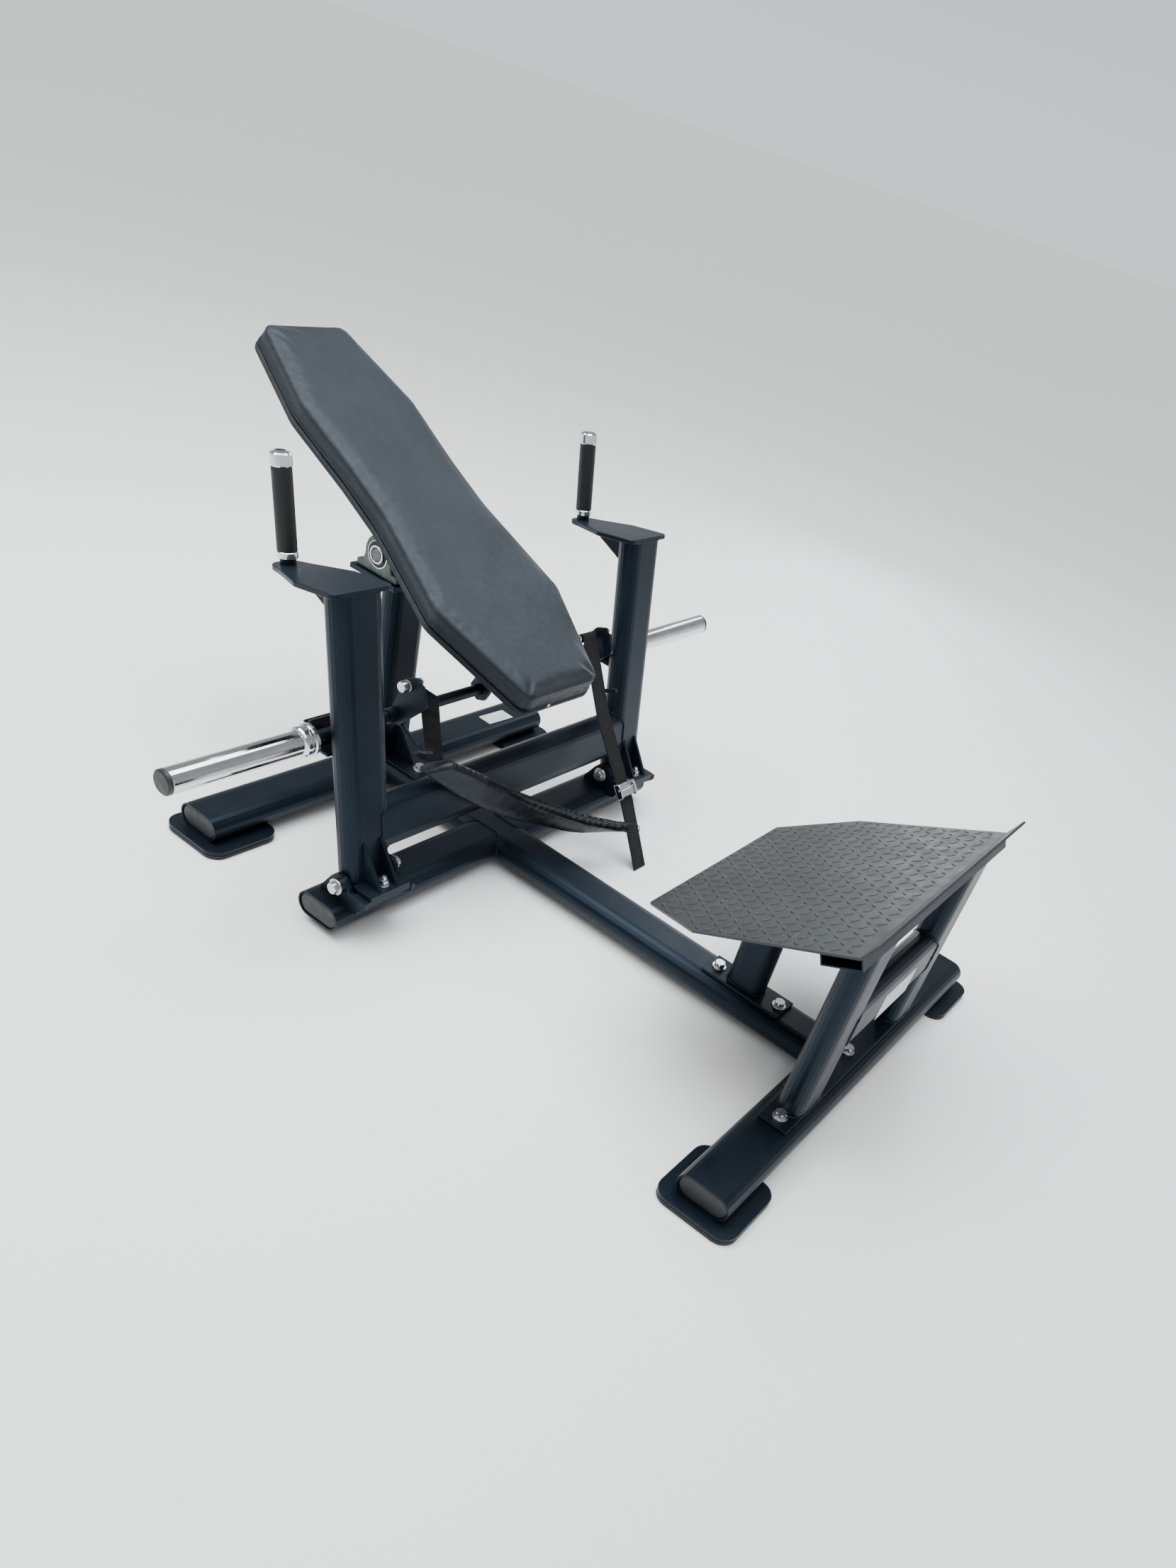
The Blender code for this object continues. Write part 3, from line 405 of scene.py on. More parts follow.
class Build:
    """Collects several closed shapes into one mesh."""

    def __init__(self):
        self.verts = []
        self.faces = []

    def loft(self, rings, closed=False, caps=True):
        base = len(self.verts)
        count = len(rings[0])
        for ring in rings:
            self.verts += [Vector(p) for p in ring]
        total = len(rings)
        for i in range(total if closed else total - 1):
            a = base + i * count
            b = base + (i + 1) % total * count
            for j in range(count):
                k = (j + 1) % count
                self.faces.append((a + j, a + k, b + k, b + j))
        if caps and not closed:
            self.faces.append(tuple(range(base, base + count)))
            self.faces.append(tuple(range(base + (total - 1) * count, base + total * count)))

    def lathe(self, profile, place, steps=24):
        self.loft([ring_points(radius, z, place, steps) for radius, z in profile])

    def hexagon(self, size, low, high, place):
        """A hexagon bolt head or nut with a turned chamfer; size is across the flats."""
        rings = []
        chamfer = size / 2 * 1.02
        # each level's height and the largest radius there; size itself lies outside the corners
        levels = ((low, size), (high - size * 0.07, size), (high, chamfer), (high, chamfer * 0.72))
        for z, limit in levels:
            ring = []
            for j in range(24):
                angle = 2 * pi * j / 24
                local = (angle + pi / 6) % (pi / 3) - pi / 6
                radius = min(size / 2 / cos(local), limit)
                ring.append(place @ Vector((radius * cos(angle), radius * sin(angle), z)))
            rings.append(ring)
        self.loft(rings)

    def bolt(self, place, size=0.019, head=0.0085, washer=0.0022, washer_r=0.0135):
        self.lathe([(washer_r, 0.0), (washer_r, washer * 0.7), (washer_r - 0.0006, washer)], place, 28)
        self.hexagon(size, washer, washer + head, place)

    def nut(self, place, size=0.019, high=0.009, stud=0.0055):
        self.bolt(place, size, high)
        low = high + 0.0022
        self.lathe([(size * 0.3, low), (size * 0.3, low + stud), (size * 0.24, low + stud + 0.0012)],
                   place, 16)

    def tube(self, path, radius, steps=10, closed=False, ripple=0.0, seed=0):
        points = [Vector(p) for p in path]
        total = len(points)
        rings = []
        u = None
        for i, point in enumerate(points):
            if closed:
                tangent = points[(i + 1) % total] - points[i - 1]
            else:
                tangent = points[min(i + 1, total - 1)] - points[max(i - 1, 0)]
            tangent.normalize()
            guess = u or (X_AXIS if abs(tangent.x) < 0.8 else Z_AXIS)
            u = (guess - tangent * guess.dot(tangent)).normalized()
            v = tangent.cross(u)
            size = radius * (1 + ripple * noise.noise(Vector((i * 0.9, seed * 7.1, 0.3))))
            ring = []
            for j in range(steps):
                angle = 2 * pi * j / steps
                ring.append(point + (u * cos(angle) + v * sin(angle)) * size)
            rings.append(ring)
        self.loft(rings, closed)

    def done(self, name, material, body, smooth=40):
        return piece(name, self.verts, self.faces, material, body, smooth)


def racetrack(width, height, steps=14):
    radius = height / 2
    half = width / 2 - radius
    points = []
    for side in (1, -1):
        for i in range(steps + 1):
            angle = pi * i / steps - pi / 2
            points.append((side * (half + radius * cos(angle)), side * radius * sin(angle)))
    return points


def resample(points, spacing, closed=True):
    """Even spacing along a polyline."""
    points = [Vector(p) for p in points]
    if closed:
        points.append(points[0])
    lengths = [0.0]
    for a, b in zip(points, points[1:]):
        lengths.append(lengths[-1] + (b - a).length)
    total = lengths[-1]
    count = max(3, int(round(total / spacing)))
    result = []
    index = 0
    for i in range(count if closed else count + 1):
        target = total * i / count
        while index < len(lengths) - 2 and lengths[index + 1] < target:
            index += 1
        span = lengths[index + 1] - lengths[index] or 1.0
        result.append(points[index].lerp(points[index + 1], (target - lengths[index]) / span))
    return result


def smooth_path(points, steps=6):
    """Catmull-Rom points between the given ones."""
    knots = [Vector(p) for p in points]
    knots = [knots[0] * 2 - knots[1]] + knots + [knots[-1] * 2 - knots[-2]]
    result = []
    for i in range(1, len(knots) - 2):
        a, b, c, d = knots[i - 1:i + 3]
        for j in range(steps):
            t = j / steps
            point = b * 2 + (c - a) * t + (a * 2 - b * 5 + c * 4 - d) * t ** 2
            result.append((point + (b * 3 - a - c * 3 + d) * t ** 3) / 2)
    result.append(knots[-2])
    return result


def rounded(points, radii, steps=8):
    """A polygon with its corners turned into arcs; radii is one radius, or one for each corner."""
    if not isinstance(radii, (list, tuple)):
        radii = [radii] * len(points)
    result = []
    for i, corner in enumerate(points):
        here = Vector(corner)
        before = Vector(points[i - 1]) - here
        after = Vector(points[(i + 1) % len(points)]) - here
        half = before.angle(after) / 2
        reach = min(radii[i] / tan(half), 0.49 * before.length, 0.49 * after.length)
        radius = reach * tan(half)
        centre = here + (before.normalized() + after.normalized()).normalized() * radius / sin(half)
        start = here + before.normalized() * reach - centre
        end = here + after.normalized() * reach - centre
        sweep = start.angle_signed(end)
        for j in range(steps + 1):
            angle = -sweep * j / steps
            turned = Vector((start.x * cos(angle) - start.y * sin(angle),
                             start.x * sin(angle) + start.y * cos(angle)))
            result.append(tuple(centre + turned))
    return result


def inset(points, distance):
    """An outline moved inwards; its corners run counter-clockwise."""
    result = []
    for i, corner in enumerate(points):
        here = Vector(corner)
        before = (here - Vector(points[i - 1])).normalized()
        after = (Vector(points[(i + 1) % len(points)]) - here).normalized()
        normal = Vector((-before.y - after.y, before.x + after.x)).normalized()
        result.append(tuple(here + normal * distance / max(0.5, normal.dot(Vector((-before.y, before.x))))))
    return result


# ---------------------------------------------------------------- camera and light


def build_camera():
    azimuth, elevation, roll = radians(-65.77), radians(38.68), radians(18.83)
    forward = Vector((-sin(azimuth) * cos(elevation), cos(azimuth) * cos(elevation), -sin(elevation)))
    right = Vector((cos(azimuth), sin(azimuth), 0))
    up = right.cross(forward)
    camera_x = right * cos(roll) + up * sin(roll)
    camera_y = up * cos(roll) - right * sin(roll)
    data = bpy.data.cameras.new("camera")
    data.sensor_width = 36.0
    data.lens = 25.30
    data.shift_x = -0.0422
    data.shift_y = 0.1414
    data.clip_start = 0.05
    data.clip_end = 60
    camera = bpy.data.objects.new("camera", data)
    bpy.context.scene.collection.objects.link(camera)
    rows = Matrix((camera_x, camera_y, -forward)).transposed().to_4x4()
    camera.matrix_world = Matrix.Translation(placed((-1.918, -1.432, 1.561))) @ rows
    bpy.context.scene.camera = camera


def area_light(name, place, target, size, power, colour):
    data = bpy.data.lights.new(name, "AREA")
    data.shape = "RECTANGLE"
    data.size, data.size_y = size
    data.energy = power
    data.color = colour
    lamp = bpy.data.objects.new(name, data)
    bpy.context.scene.collection.objects.link(lamp)
    lamp.location = placed(place)
    lamp.rotation_euler = (Vector(target) - Vector(place)).to_track_quat("-Z", "Y").to_euler()


def build_stage():
    mesh = bpy.data.meshes.new("floor")
    reach = 120
    corners = [(-reach, -reach, 0), (reach, -reach, 0), (reach, reach, 0), (-reach, reach, 0)]
    mesh.from_pydata(corners, [], [(0, 1, 2, 3)])
    floor = bpy.data.objects.new("floor", mesh)
    bpy.context.scene.collection.objects.link(floor)
    s = Surface("pale_floor", (0.90, 0.90, 0.90), 0.75, 0.0, 0.2)
    s.colour(s.blend(s.noise(0.7, 3.0, 0.5), (0.89, 0.89, 0.89), (0.91, 0.91, 0.91)))
    mesh.materials.append(s.material)
    world = bpy.data.worlds.new("studio")
    bpy.context.scene.world = world
    world.use_nodes = True
    shade_world(world.node_tree)
    area_light("ceiling", (0.2, 0.3, 4.2), (0, -0.1, 0.3), (4.0, 3.0), 270, (0.93, 0.97, 1.0))
    area_light("key", (-1.8, 1.6, 3.4), (0, -0.2, 0.3), (2.6, 1.2), 90, (1.0, 0.985, 0.96))
    area_light("rim", (3.2, 0.6, 1.7), (0, -0.2, 0.4), (0.5, 2.2), 26, (0.90, 0.95, 1.0))
    sun = bpy.data.lights.new("sky", "SUN")
    sun.angle = radians(60)
    sun.energy = 2.1
    lamp = bpy.data.objects.new("sky", sun)
    bpy.context.scene.collection.objects.link(lamp)
    lamp.rotation_euler = (radians(12), radians(-10), 0)


def shade_world(tree):
    """Bright near the horizon and dimmer overhead."""
    coord = tree.nodes.new("ShaderNodeTexCoord")
    split = tree.nodes.new("ShaderNodeSeparateXYZ")
    ramp = tree.nodes.new("ShaderNodeMapRange")
    ramp.inputs["From Min"].default_value = 0.02
    ramp.inputs["From Max"].default_value = 0.40
    ramp.inputs["To Min"].default_value = 1.02
    ramp.inputs["To Max"].default_value = 0.40
    background = tree.nodes["Background"]
    background.inputs["Color"].default_value = (0.94, 0.97, 1.0, 1)
    tree.links.new(coord.outputs["Generated"], split.inputs["Vector"])
    tree.links.new(split.outputs["Z"], ramp.inputs["Value"])
    tree.links.new(ramp.outputs["Result"], background.inputs["Strength"])


# ---------------------------------------------------------------- pad

PINNED_RIM = 0.006
FOAM_PRESSURE = 4.0
SWELL_LIMIT = 0.0055
CLOTH_FRAMES = 20
VOXEL = 0.0058
SEAM_STEP = 0.004
STITCH_STEP = 0.0021


def pad_outline():
    """The cushion seen square to its face, from its low end at s = 0 to its high end."""
    half = [(0.125, 0.0), (0.208, 0.255), (0.164, 0.500), (0.162, 0.620), (0.170, 0.795),
            (0.118, 1.015)]
    points = half + [(-x, s) for x, s in reversed(half)]
    radii = [0.040, 0.060, 0.20, 0.20, 0.100, 0.035]
    return rounded(points, radii + radii[::-1])


def pad_start_mesh():
    """The cushion's cut shape in its own plane, a little smaller than the finished pad."""
    outline = pad_outline()
    build = Build()
    rings = []
    for shift, n in ((0.0075, -FOAM_T), (0.0035, -0.048), (0.002, -0.043), (0.002, -0.014),
                     (0.0045, -0.0075), (0.0105, -0.004)):
        rings.append([(x, y, n) for x, y in inset(outline, shift)])
    build.loft(rings)
    mesh = bpy.data.meshes.new("pad_start")
    mesh.from_pydata([tuple(v) for v in build.verts], [], build.faces)
    return mesh


def inflate(obj, pinned):
    """Swell a closed skin with the cloth solver and bake the result into its mesh."""
    mesh = obj.data
    group = obj.vertex_groups.new(name="pinned")
    group.add([v.index for v in mesh.vertices if pinned(v.co)], 1.0, "REPLACE")
    start = [v.co.copy() for v in mesh.vertices]
    scene = bpy.context.scene
    scene.frame_set(1)
    cloth = obj.modifiers.new("Cloth", "CLOTH")
    settings = cloth.settings
    settings.quality = 5
    settings.mass = 0.35
    settings.tension_stiffness = 18
    settings.compression_stiffness = 18
    settings.shear_stiffness = 6
    settings.bending_stiffness = 0.6
    settings.use_pressure = True
    settings.uniform_pressure_force = FOAM_PRESSURE
    settings.vertex_group_mass = "pinned"
    settings.effector_weights.gravity = 0.0
    for number in range(1, CLOTH_FRAMES + 1):
        scene.frame_set(number)
    depsgraph = bpy.context.evaluated_depsgraph_get()
    shaped = obj.evaluated_get(depsgraph)
    moved = [v.co.copy() for v in shaped.data.vertices]
    obj.modifiers.clear()
    scene.frame_set(1)
    for vertex, a, b in zip(mesh.vertices, start, moved):
        step = b - a
        if step.length > SWELL_LIMIT:
            step = step.normalized() * SWELL_LIMIT
        vertex.co = a + step
    obj.vertex_groups.clear()


def bake(obj):
    depsgraph = bpy.context.evaluated_depsgraph_get()
    mesh = bpy.data.meshes.new_from_object(obj.evaluated_get(depsgraph))
    obj.modifiers.clear()
    obj.data = mesh
    return mesh


def surface_loop(tree, outline, height):
    """The outline laid on the skin at one height, found by looking inwards."""
    path = []
    total = len(outline)
    for i, point in enumerate(outline):
        along = (outline[(i + 1) % total] - outline[i - 1]).normalized()
        outward = Vector((along.y, -along.x, 0))
        start = Vector((point.x, point.y, height)) + outward * 0.03
        hit = tree.ray_cast(start, -outward, 0.06)[0]
        path.append(hit if hit else Vector((point.x, point.y, height)))
    return path


def build_pad():
    obj = bpy.data.objects.new("pad_upholstery", pad_start_mesh())
    bpy.context.scene.collection.objects.link(obj)
    remesh = obj.modifiers.new("Remesh", "REMESH")
    remesh.mode = "VOXEL"
    remesh.voxel_size = VOXEL
    bake(obj)
    inflate(obj, lambda p: p.z < -FOAM_T + PINNED_RIM)
    subdivide = obj.modifiers.new("Subdivision", "SUBSURF")
    subdivide.levels = subdivide.render_levels = 1
    mesh = bake(obj)
    for vertex in mesh.vertices:
        p = vertex.co
        if p.z > -0.012:
            ripple = noise.noise(Vector((p.x * 9, p.y * 5, 1.7))) * 0.0007
            ripple += noise.noise(Vector((p.x * 38, p.y * 30, 4.1))) * 0.00018
            vertex.co.z += ripple
        else:
            pucker = noise.noise(Vector((p.x * 60, p.y * 60, p.z * 25))) * 0.0004
            vertex.co += Vector((p.x, p.y - 0.5, 0)).normalized() * pucker
    tree = BVHTree.FromPolygons([v.co.copy() for v in mesh.vertices],
                                [tuple(p.vertices) for p in mesh.polygons])
    place = pad_face_frame()
    mesh.transform(Matrix.Translation(SHIFT) @ place)
    mesh.materials.clear()
    mesh.materials.append(VINYL)
    mesh.shade_smooth()
    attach(obj, "pad")
    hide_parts("pad_cushion")
    outline = resample([(x, y, 0) for x, y in pad_outline()], SEAM_STEP)
    seams = Build()
    stitches = Build()
    for height, radius in ((-0.0115, 0.0011), (-0.0440, 0.0012)):
        path = surface_loop(tree, outline, height)
        seams.tube([place @ p for p in path], radius, 8, closed=True)
    stitch_path = resample([tuple(p) for p in surface_loop(tree, outline, -0.0405)], STITCH_STEP)
    for i in range(0, len(stitch_path) - 1, 2):
        ends = [place @ stitch_path[i], place @ stitch_path[i + 1]]
        stitches.tube(ends, 0.00042, 5)
    seams.done("pad_seam_piping", SEAM, "pad")
    stitches.done("pad_seam_thread", WEBBING, "pad")


# ---------------------------------------------------------------- belt and straps

# The belt's two long edges from left to right, the right strap's route from its pin down, and the
# left strap's four corners.
BELT_FRONT = [(-0.250, -0.043, 0.346), (-0.170, -0.072, 0.304), (-0.060, -0.107, 0.241),
              (0.020, -0.138, 0.201), (0.110, -0.187, 0.165), (0.238, -0.269, 0.132)]
BELT_BACK = [(-0.306, 0.000, 0.323), (-0.200, -0.047, 0.242), (-0.078, -0.070, 0.170),
             (0.024, -0.096, 0.131), (0.130, -0.147, 0.101), (0.246, -0.197, 0.102)]
BELT_T = 0.024
BELT_STEP = 0.0018
BELT_BAND = 0.022
BELT_SECTION = 46
STRAP_PATH = [(0.0600, 0.478), (0.0566, 0.5015), (0.0536, 0.5068), (0.0480, 0.5088), (0.0423, 0.5066),
              (-0.050, 0.338), (-0.181, 0.160), (-0.226, 0.084), (-0.262, 0.022), (-0.274, 0.002)]
LEFT_STRAP = [(0.049, 0.496), (-0.009, 0.495), (-0.047, 0.366), (-0.003, 0.338)]
LEFT_STRAP_X = -0.290
STRAP_MID = 0.279
STRAP_W = 0.050
STRAP_T = 0.0026
THREAD_R = 0.00035
BUCKLE_AT = Vector((STRAP_MID, -0.165, 0.1817))
BUCKLE_FACE = Vector((0, -0.805, 0.593)).normalized()


def belt_rings():
    """Cross sections from end to end; v runs from the gathered front edge to the back edge."""
    front = resample([tuple(p) for p in smooth_path(BELT_FRONT, 12)], BELT_STEP, closed=False)
    back = smooth_path(BELT_BACK, 12)
    total = len(front)
    half = BELT_T / 2
    rings = []
    for i, near in enumerate(front):
        spot = i / (total - 1) * (len(back) - 1)
        low = min(int(spot), len(back) - 2)
        far = back[low].lerp(back[low + 1], spot - low)
        along = (front[min(i + 1, total - 1)] - front[max(i - 1, 0)]).normalized()
        broad = far - near
        width = broad.length
        broad.normalize()
        thick = along.cross(broad).normalized()
        section = rounded([(-half, 0), (half, 0), (half, width), (-half, width)], 0.0115, 7)
        section = resample([(a, b, 0) for a, b in section], 0.0045)[:BELT_SECTION]
        edge = min(1.0, min(i, total - 1 - i) / 5)
        swell = 0.86 + 0.14 * sqrt(edge)
        phase = i * 0.62 + 1.7 * noise.noise(Vector((i * 0.05, 0.4, 0)))
        ring = []
        for u, v, _ in section:
            gather = max(0.0, 1 - v / BELT_BAND) + 0.5 * max(0.0, 1 - (width - v) / 0.014)
            amount = gather * (0.55 + 0.45 * noise.noise(Vector((i * 0.11, v * 60, 2.0))))
            wave = 0.0013 * amount * sin(phase + 18 * u)
            crown = 1 - 0.06 * (2 * v / width - 1) ** 2
            offset = thick * (u * swell * crown) + broad * (v + wave)
            soft = noise.noise((near + broad * v) * 34 + Vector((0, 0, u * 60))) * 0.0009
            ring.append(near + offset + thick * (soft + wave * 0.6) * (1 if u > 0 else -1))
        rings.append(ring)
    return rings


def build_belt():
    rings = belt_rings()
    build = Build()
    build.loft(rings)
    belt = build.done("belt_padding", BELT_SKIN, "bar", 60)
    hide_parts("belt")
    trim = Build()
    for index in (3, len(rings) - 4):
        trim.tube(resample([tuple(p) for p in rings[index]], 0.004), 0.0013, 8, closed=True)
    for column in band_columns(rings):
        trim.tube([ring[column] for ring in rings[2:-2]], 0.0009, 6)
    trim.done("belt_binding", SEAM, "bar")


def band_columns(rings):
    """Indices of the section points nearest to the two long seams beside the gathered edge."""
    middle = rings[len(rings) // 2]
    top = sum(middle[:2], Vector()) / 2
    order = sorted(range(len(middle)), key=lambda j: abs((middle[j] - top).length - BELT_BAND))
    return order[:2]


def strap_section(thickness, width):
    half = width / 2
    edge = thickness / 2
    return [(-half + 0.0006, -edge), (half - 0.0006, -edge), (half, -edge * 0.3), (half, edge * 0.3),
            (half - 0.0006, edge), (-half + 0.0006, edge), (-half, edge * 0.3), (-half, -edge * 0.3)]


def strap_frames(path):
    """Evenly spaced points along a strap, each with the way its face looks."""
    points = resample([(0, y, z) for y, z in path], 0.004, closed=False)
    frames = []
    total = len(points)
    for i, point in enumerate(points):
        tangent = (points[min(i + 1, total - 1)] - points[max(i - 1, 0)]).normalized()
        frames.append((point, Vector((0, -tangent.z, tangent.y))))
    return frames


def build_right_strap():
    frames = strap_frames(STRAP_PATH)
    section = strap_section(STRAP_T, STRAP_W)
    web = Build()
    rings = []
    for point, out in frames:
        origin = point + X_AXIS * STRAP_MID
        rings.append([origin + X_AXIS * a + out * b for a, b in section])
    web.loft(rings)
    strap = web.done("webbing_right", WEBBING, "bar", 50)
    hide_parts("strap_right")
    thread = Build()
    for shift in (-0.021, 0.021):
        for i in range(1, len(frames) - 2):
            a, out_a = frames[i]
            b, out_b = frames[i + 1]
            for face in (-1, 1):
                start = a + X_AXIS * (STRAP_MID + shift) + out_a * face * 0.00135
                stop = start.lerp(b + X_AXIS * (STRAP_MID + shift) + out_b * face * 0.00135, 0.6)
                thread.tube([start, stop], THREAD_R, 4)
    thread.done("webbing_thread_right", SEAM, "bar")


def build_left_strap():
    """The left strap hangs turned on edge, its flat face across the machine."""
    top_back, top_front, low_front, low_back = [Vector((0, y, z)) for y, z in LEFT_STRAP]
    web = Build()
    thread = Build()
    rings = []
    count = 42
    rows = []
    for i in range(count + 1):
        t = i / count
        back = top_back.lerp(low_back, t)
        fore = top_front.lerp(low_front, t)
        rows.append((back, fore))
        across = (fore - back).normalized()
        middle = (back + fore) / 2 + X_AXIS * LEFT_STRAP_X
        sway = X_AXIS * 0.0004 * sin(9 * t)
        section = strap_section(STRAP_T, (fore - back).length)
        rings.append([middle + sway + across * a + X_AXIS * b for a, b in section])
    web.loft(rings)
    strap = web.done("webbing_left", WEBBING, "bar", 50)
    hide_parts("strap_left")
    for part in (0.09, 0.91):
        for i in range(1, count - 1):
            for face in (-1, 1):
                lift = X_AXIS * (LEFT_STRAP_X + face * 0.00145)
                start = rows[i][0].lerp(rows[i][1], part) + lift
                stop = start.lerp(rows[i + 1][0].lerp(rows[i + 1][1], part) + lift, 0.6)
                thread.tube([start, stop], THREAD_R, 4)
    thread.done("webbing_thread_left", SEAM, "bar")


def build_buckle_detail():
    """Teeth, rivets and the pressed rim of the cam buckle."""
    place = axes(BUCKLE_AT + BUCKLE_FACE * 0.0015, X_AXIS, BUCKLE_FACE)
    rim = Build()
    for side in (-1, 1):
        x = side * 0.0306
        path = [(x, -0.018, 0.0), (x, -0.019, 0.010), (x, -0.010, 0.0145), (x, 0.008, 0.0145),
                (x, 0.018, 0.009), (x, 0.019, -0.003)]
        rim.tube([place @ p for p in smooth_path(path, 4)], 0.0012, 8)
        rim.lathe([(0.0040, 0.0), (0.0040, 0.0012), (0.0026, 0.0022)],
                  place @ axes((side * 0.0300, 0.004, 0.0095), Y_AXIS, (side, 0, 0)), 16)
    rim.tube([place @ Vector((-0.0300, -0.0195, -0.0030)), place @ Vector((0.0300, -0.0195, -0.0030))],
             0.0018, 10)
    rim.done("buckle_rim", CHROME, "bar")
    teeth = Build()
    for i in range(12):
        x = -0.022 + 0.004 * i
        teeth.lathe([(0.0010, 0.0), (0.0007, 0.0018), (0.0002, 0.0026)],
                    place @ axes((x, 0.0075, 0.0085), X_AXIS, (0, 0.6, -0.8)), 6)
    teeth.done("buckle_teeth", CHROME, "buckle_lever")


# ---------------------------------------------------------------- fasteners and welds

# Bolt sizes: across the flats, head height, washer thickness, washer radius.
FRAME_BOLT = (0.022, 0.010, 0.0025, 0.0165)
BEARING_BOLT = (0.019, 0.010, 0.0025, 0.0128)
PIVOT_BOLT = (0.024, 0.0105, 0.0026, 0.0185)
PIN_NUT = (0.021, 0.0165, 0.002, 0.0125)
FLANGE_TOP = BEAM_TOP + 0.0083
WELD_BASE = BEAM_TOP + 0.0085
WELD_R = 0.0026
STAND_Y = -1.045


def build_fasteners():
    bolts = Build()
    spots = [(x, -1.042, 0.3 + x) for x in (-0.300, 0.0, 0.300)]
    spots += [(0.0, y, 0.7 + y) for y in (-0.691, -0.858)]
    spots += [(0.0, y, 0.2) for y in (0.272, 0.440)]
    for x, y, turn in spots:
        bolts.bolt(axes((x, y, FLANGE_TOP), (1, turn, 0), Z_AXIS), *FRAME_BOLT)
    plate = footplate_frame()
    for side in SIDES:
        bolts.nut(axes((side * UPRIGHT_X, -0.080, 0.1283), (1, 0.4, 0), Z_AXIS), 0.019, 0.010, 0.008)
        for y in (-0.0495, 0.0510):
            spot = pad_point(SHAFT_S, SHAFT_N) + Vector((side * 0.074, y, -0.0308))
            bolts.bolt(axes(spot, X_AXIS, Z_AXIS), *BEARING_BOLT)
        for x in (0.300, 0.120):
            spot = plate @ Vector((-side * x, 0.448, -0.0302))
            bolts.bolt(axes(spot, X_AXIS, plate.to_3x3() @ Vector((0, 0, -1))), 0.019, 0.008)
    bolts.done("frame_bolts", ZINC, "frame")
    pivots = Build()
    for side in SIDES:
        for way in (-1, 1):
            spot = (side * UPRIGHT_X + way * 0.0808, -0.024, 0.120)
            pivots.bolt(axes(spot, (0, 1, 0.3), (way, 0, 0)), *PIVOT_BOLT)
    pivots.done("pivot_bolt_heads", ZINC, "frame")
    pins = Build()
    for side in SIDES:
        pins.bolt(axes((side * 0.3222, PIN.y, PIN.z), (0, 1, 0.5), (side, 0, 0)), *PIN_NUT)
        end = 0.2465 if side > 0 else 0.2878
        pins.lathe([(0.0095, 0.0), (0.0095, 0.004), (0.007, 0.006)],
                   axes((side * end, PIN.y, PIN.z), Y_AXIS, (-side, 0, 0)), 20)
    pins.done("strap_pin_nuts", ZINC, "bar")


def stop_point(along, depth):
    """A point on a rubber stop, from the bar's axis up the stop's slope and square to its face."""
    slope = radians(57.5)
    y = BAR.y + along * cos(slope) + depth * sin(slope)
    z = BAR.z + along * sin(slope) - depth * cos(slope)
    return Vector((0, y, z))


def build_stop_screws():
    """Recessed socket screws in the rubber stops, and the screw heads behind them."""
    out = (stop_point(0, 0) - stop_point(0, 1)).normalized()
    profile = ((0.0078, -0.0005), (0.0078, 0.0006), (0.0060, 0.0009), (0.0032, 0.0007), (0.0030, 0.0002))
    screws = Build()
    for side in SIDES:
        for x in (0.458, 0.500):
            spot = stop_point(0.014, 0.0200) + X_AXIS * side * x
            screws.lathe(profile, axes(spot, X_AXIS, out), 20)
            back = stop_point(0.014, 0.0385) + X_AXIS * side * x
            screws.hexagon(0.013, 0.0, 0.006, axes(back, X_AXIS, -out))
    screws.done("stop_screws", PAINT, "frame")


def build_bearings():
    """Bearing inserts, seals, set screws and grease nipples of the two pillow blocks."""
    centre = pad_point(SHAFT_S, SHAFT_N)
    steel = Build()
    dark = Build()
    nipples = Build()
    for side in SIDES:
        place = axes(centre + X_AXIS * side * 0.098, Y_AXIS, (side, 0, 0))
        steel.lathe([(0.0305, 0.0), (0.0305, 0.0012), (0.0285, 0.0016), (0.0280, 0.0002)], place, 32)
        dark.lathe([(0.0279, 0.0), (0.0279, 0.0009), (0.0205, 0.0013), (0.0204, 0.0)], place, 32)
        steel.lathe([(0.0202, 0.0), (0.0202, 0.0052), (0.0195, 0.0058), (0.0162, 0.0058),
                     (0.0156, 0.0050), (0.0156, 0.0)], place, 32)
        for turn in (0.6, 2.7):
            spot = place @ Vector((0.0202 * cos(turn), 0.0202 * sin(turn), 0.0030))
            way = place.to_3x3() @ Vector((cos(turn), sin(turn), 0))
            steel.lathe([(0.0022, -0.001), (0.0022, 0.0006), (0.0012, 0.0004)],
                        axes(spot, X_AXIS, way), 10)
        top = centre + Vector((side * 0.074, 0, 0.0408))
        nipples.lathe([(0.0040, 0.0), (0.0040, 0.003), (0.0026, 0.004), (0.0026, 0.007), (0.0034, 0.008),
                       (0.0024, 0.011), (0.0010, 0.012)],
                      axes(top, X_AXIS, Z_AXIS), 12)
    steel.done("bearing_rings", ZINC, "frame")
    dark.done("bearing_seals", RUBBER, "frame")
    nipples.done("grease_nipples", BRASS, "frame")


def saddle(way, offset, outline, place):
    """Where a tube with this outline meets the rounded side of another tube."""
    radius = TUBE_H / 2
    path = []
    for x, y in outline:
        reach = sqrt(radius ** 2 - min(radius, abs(y)) ** 2)
        path.append(place @ Vector((x, y, way * (offset + reach))))
    return path


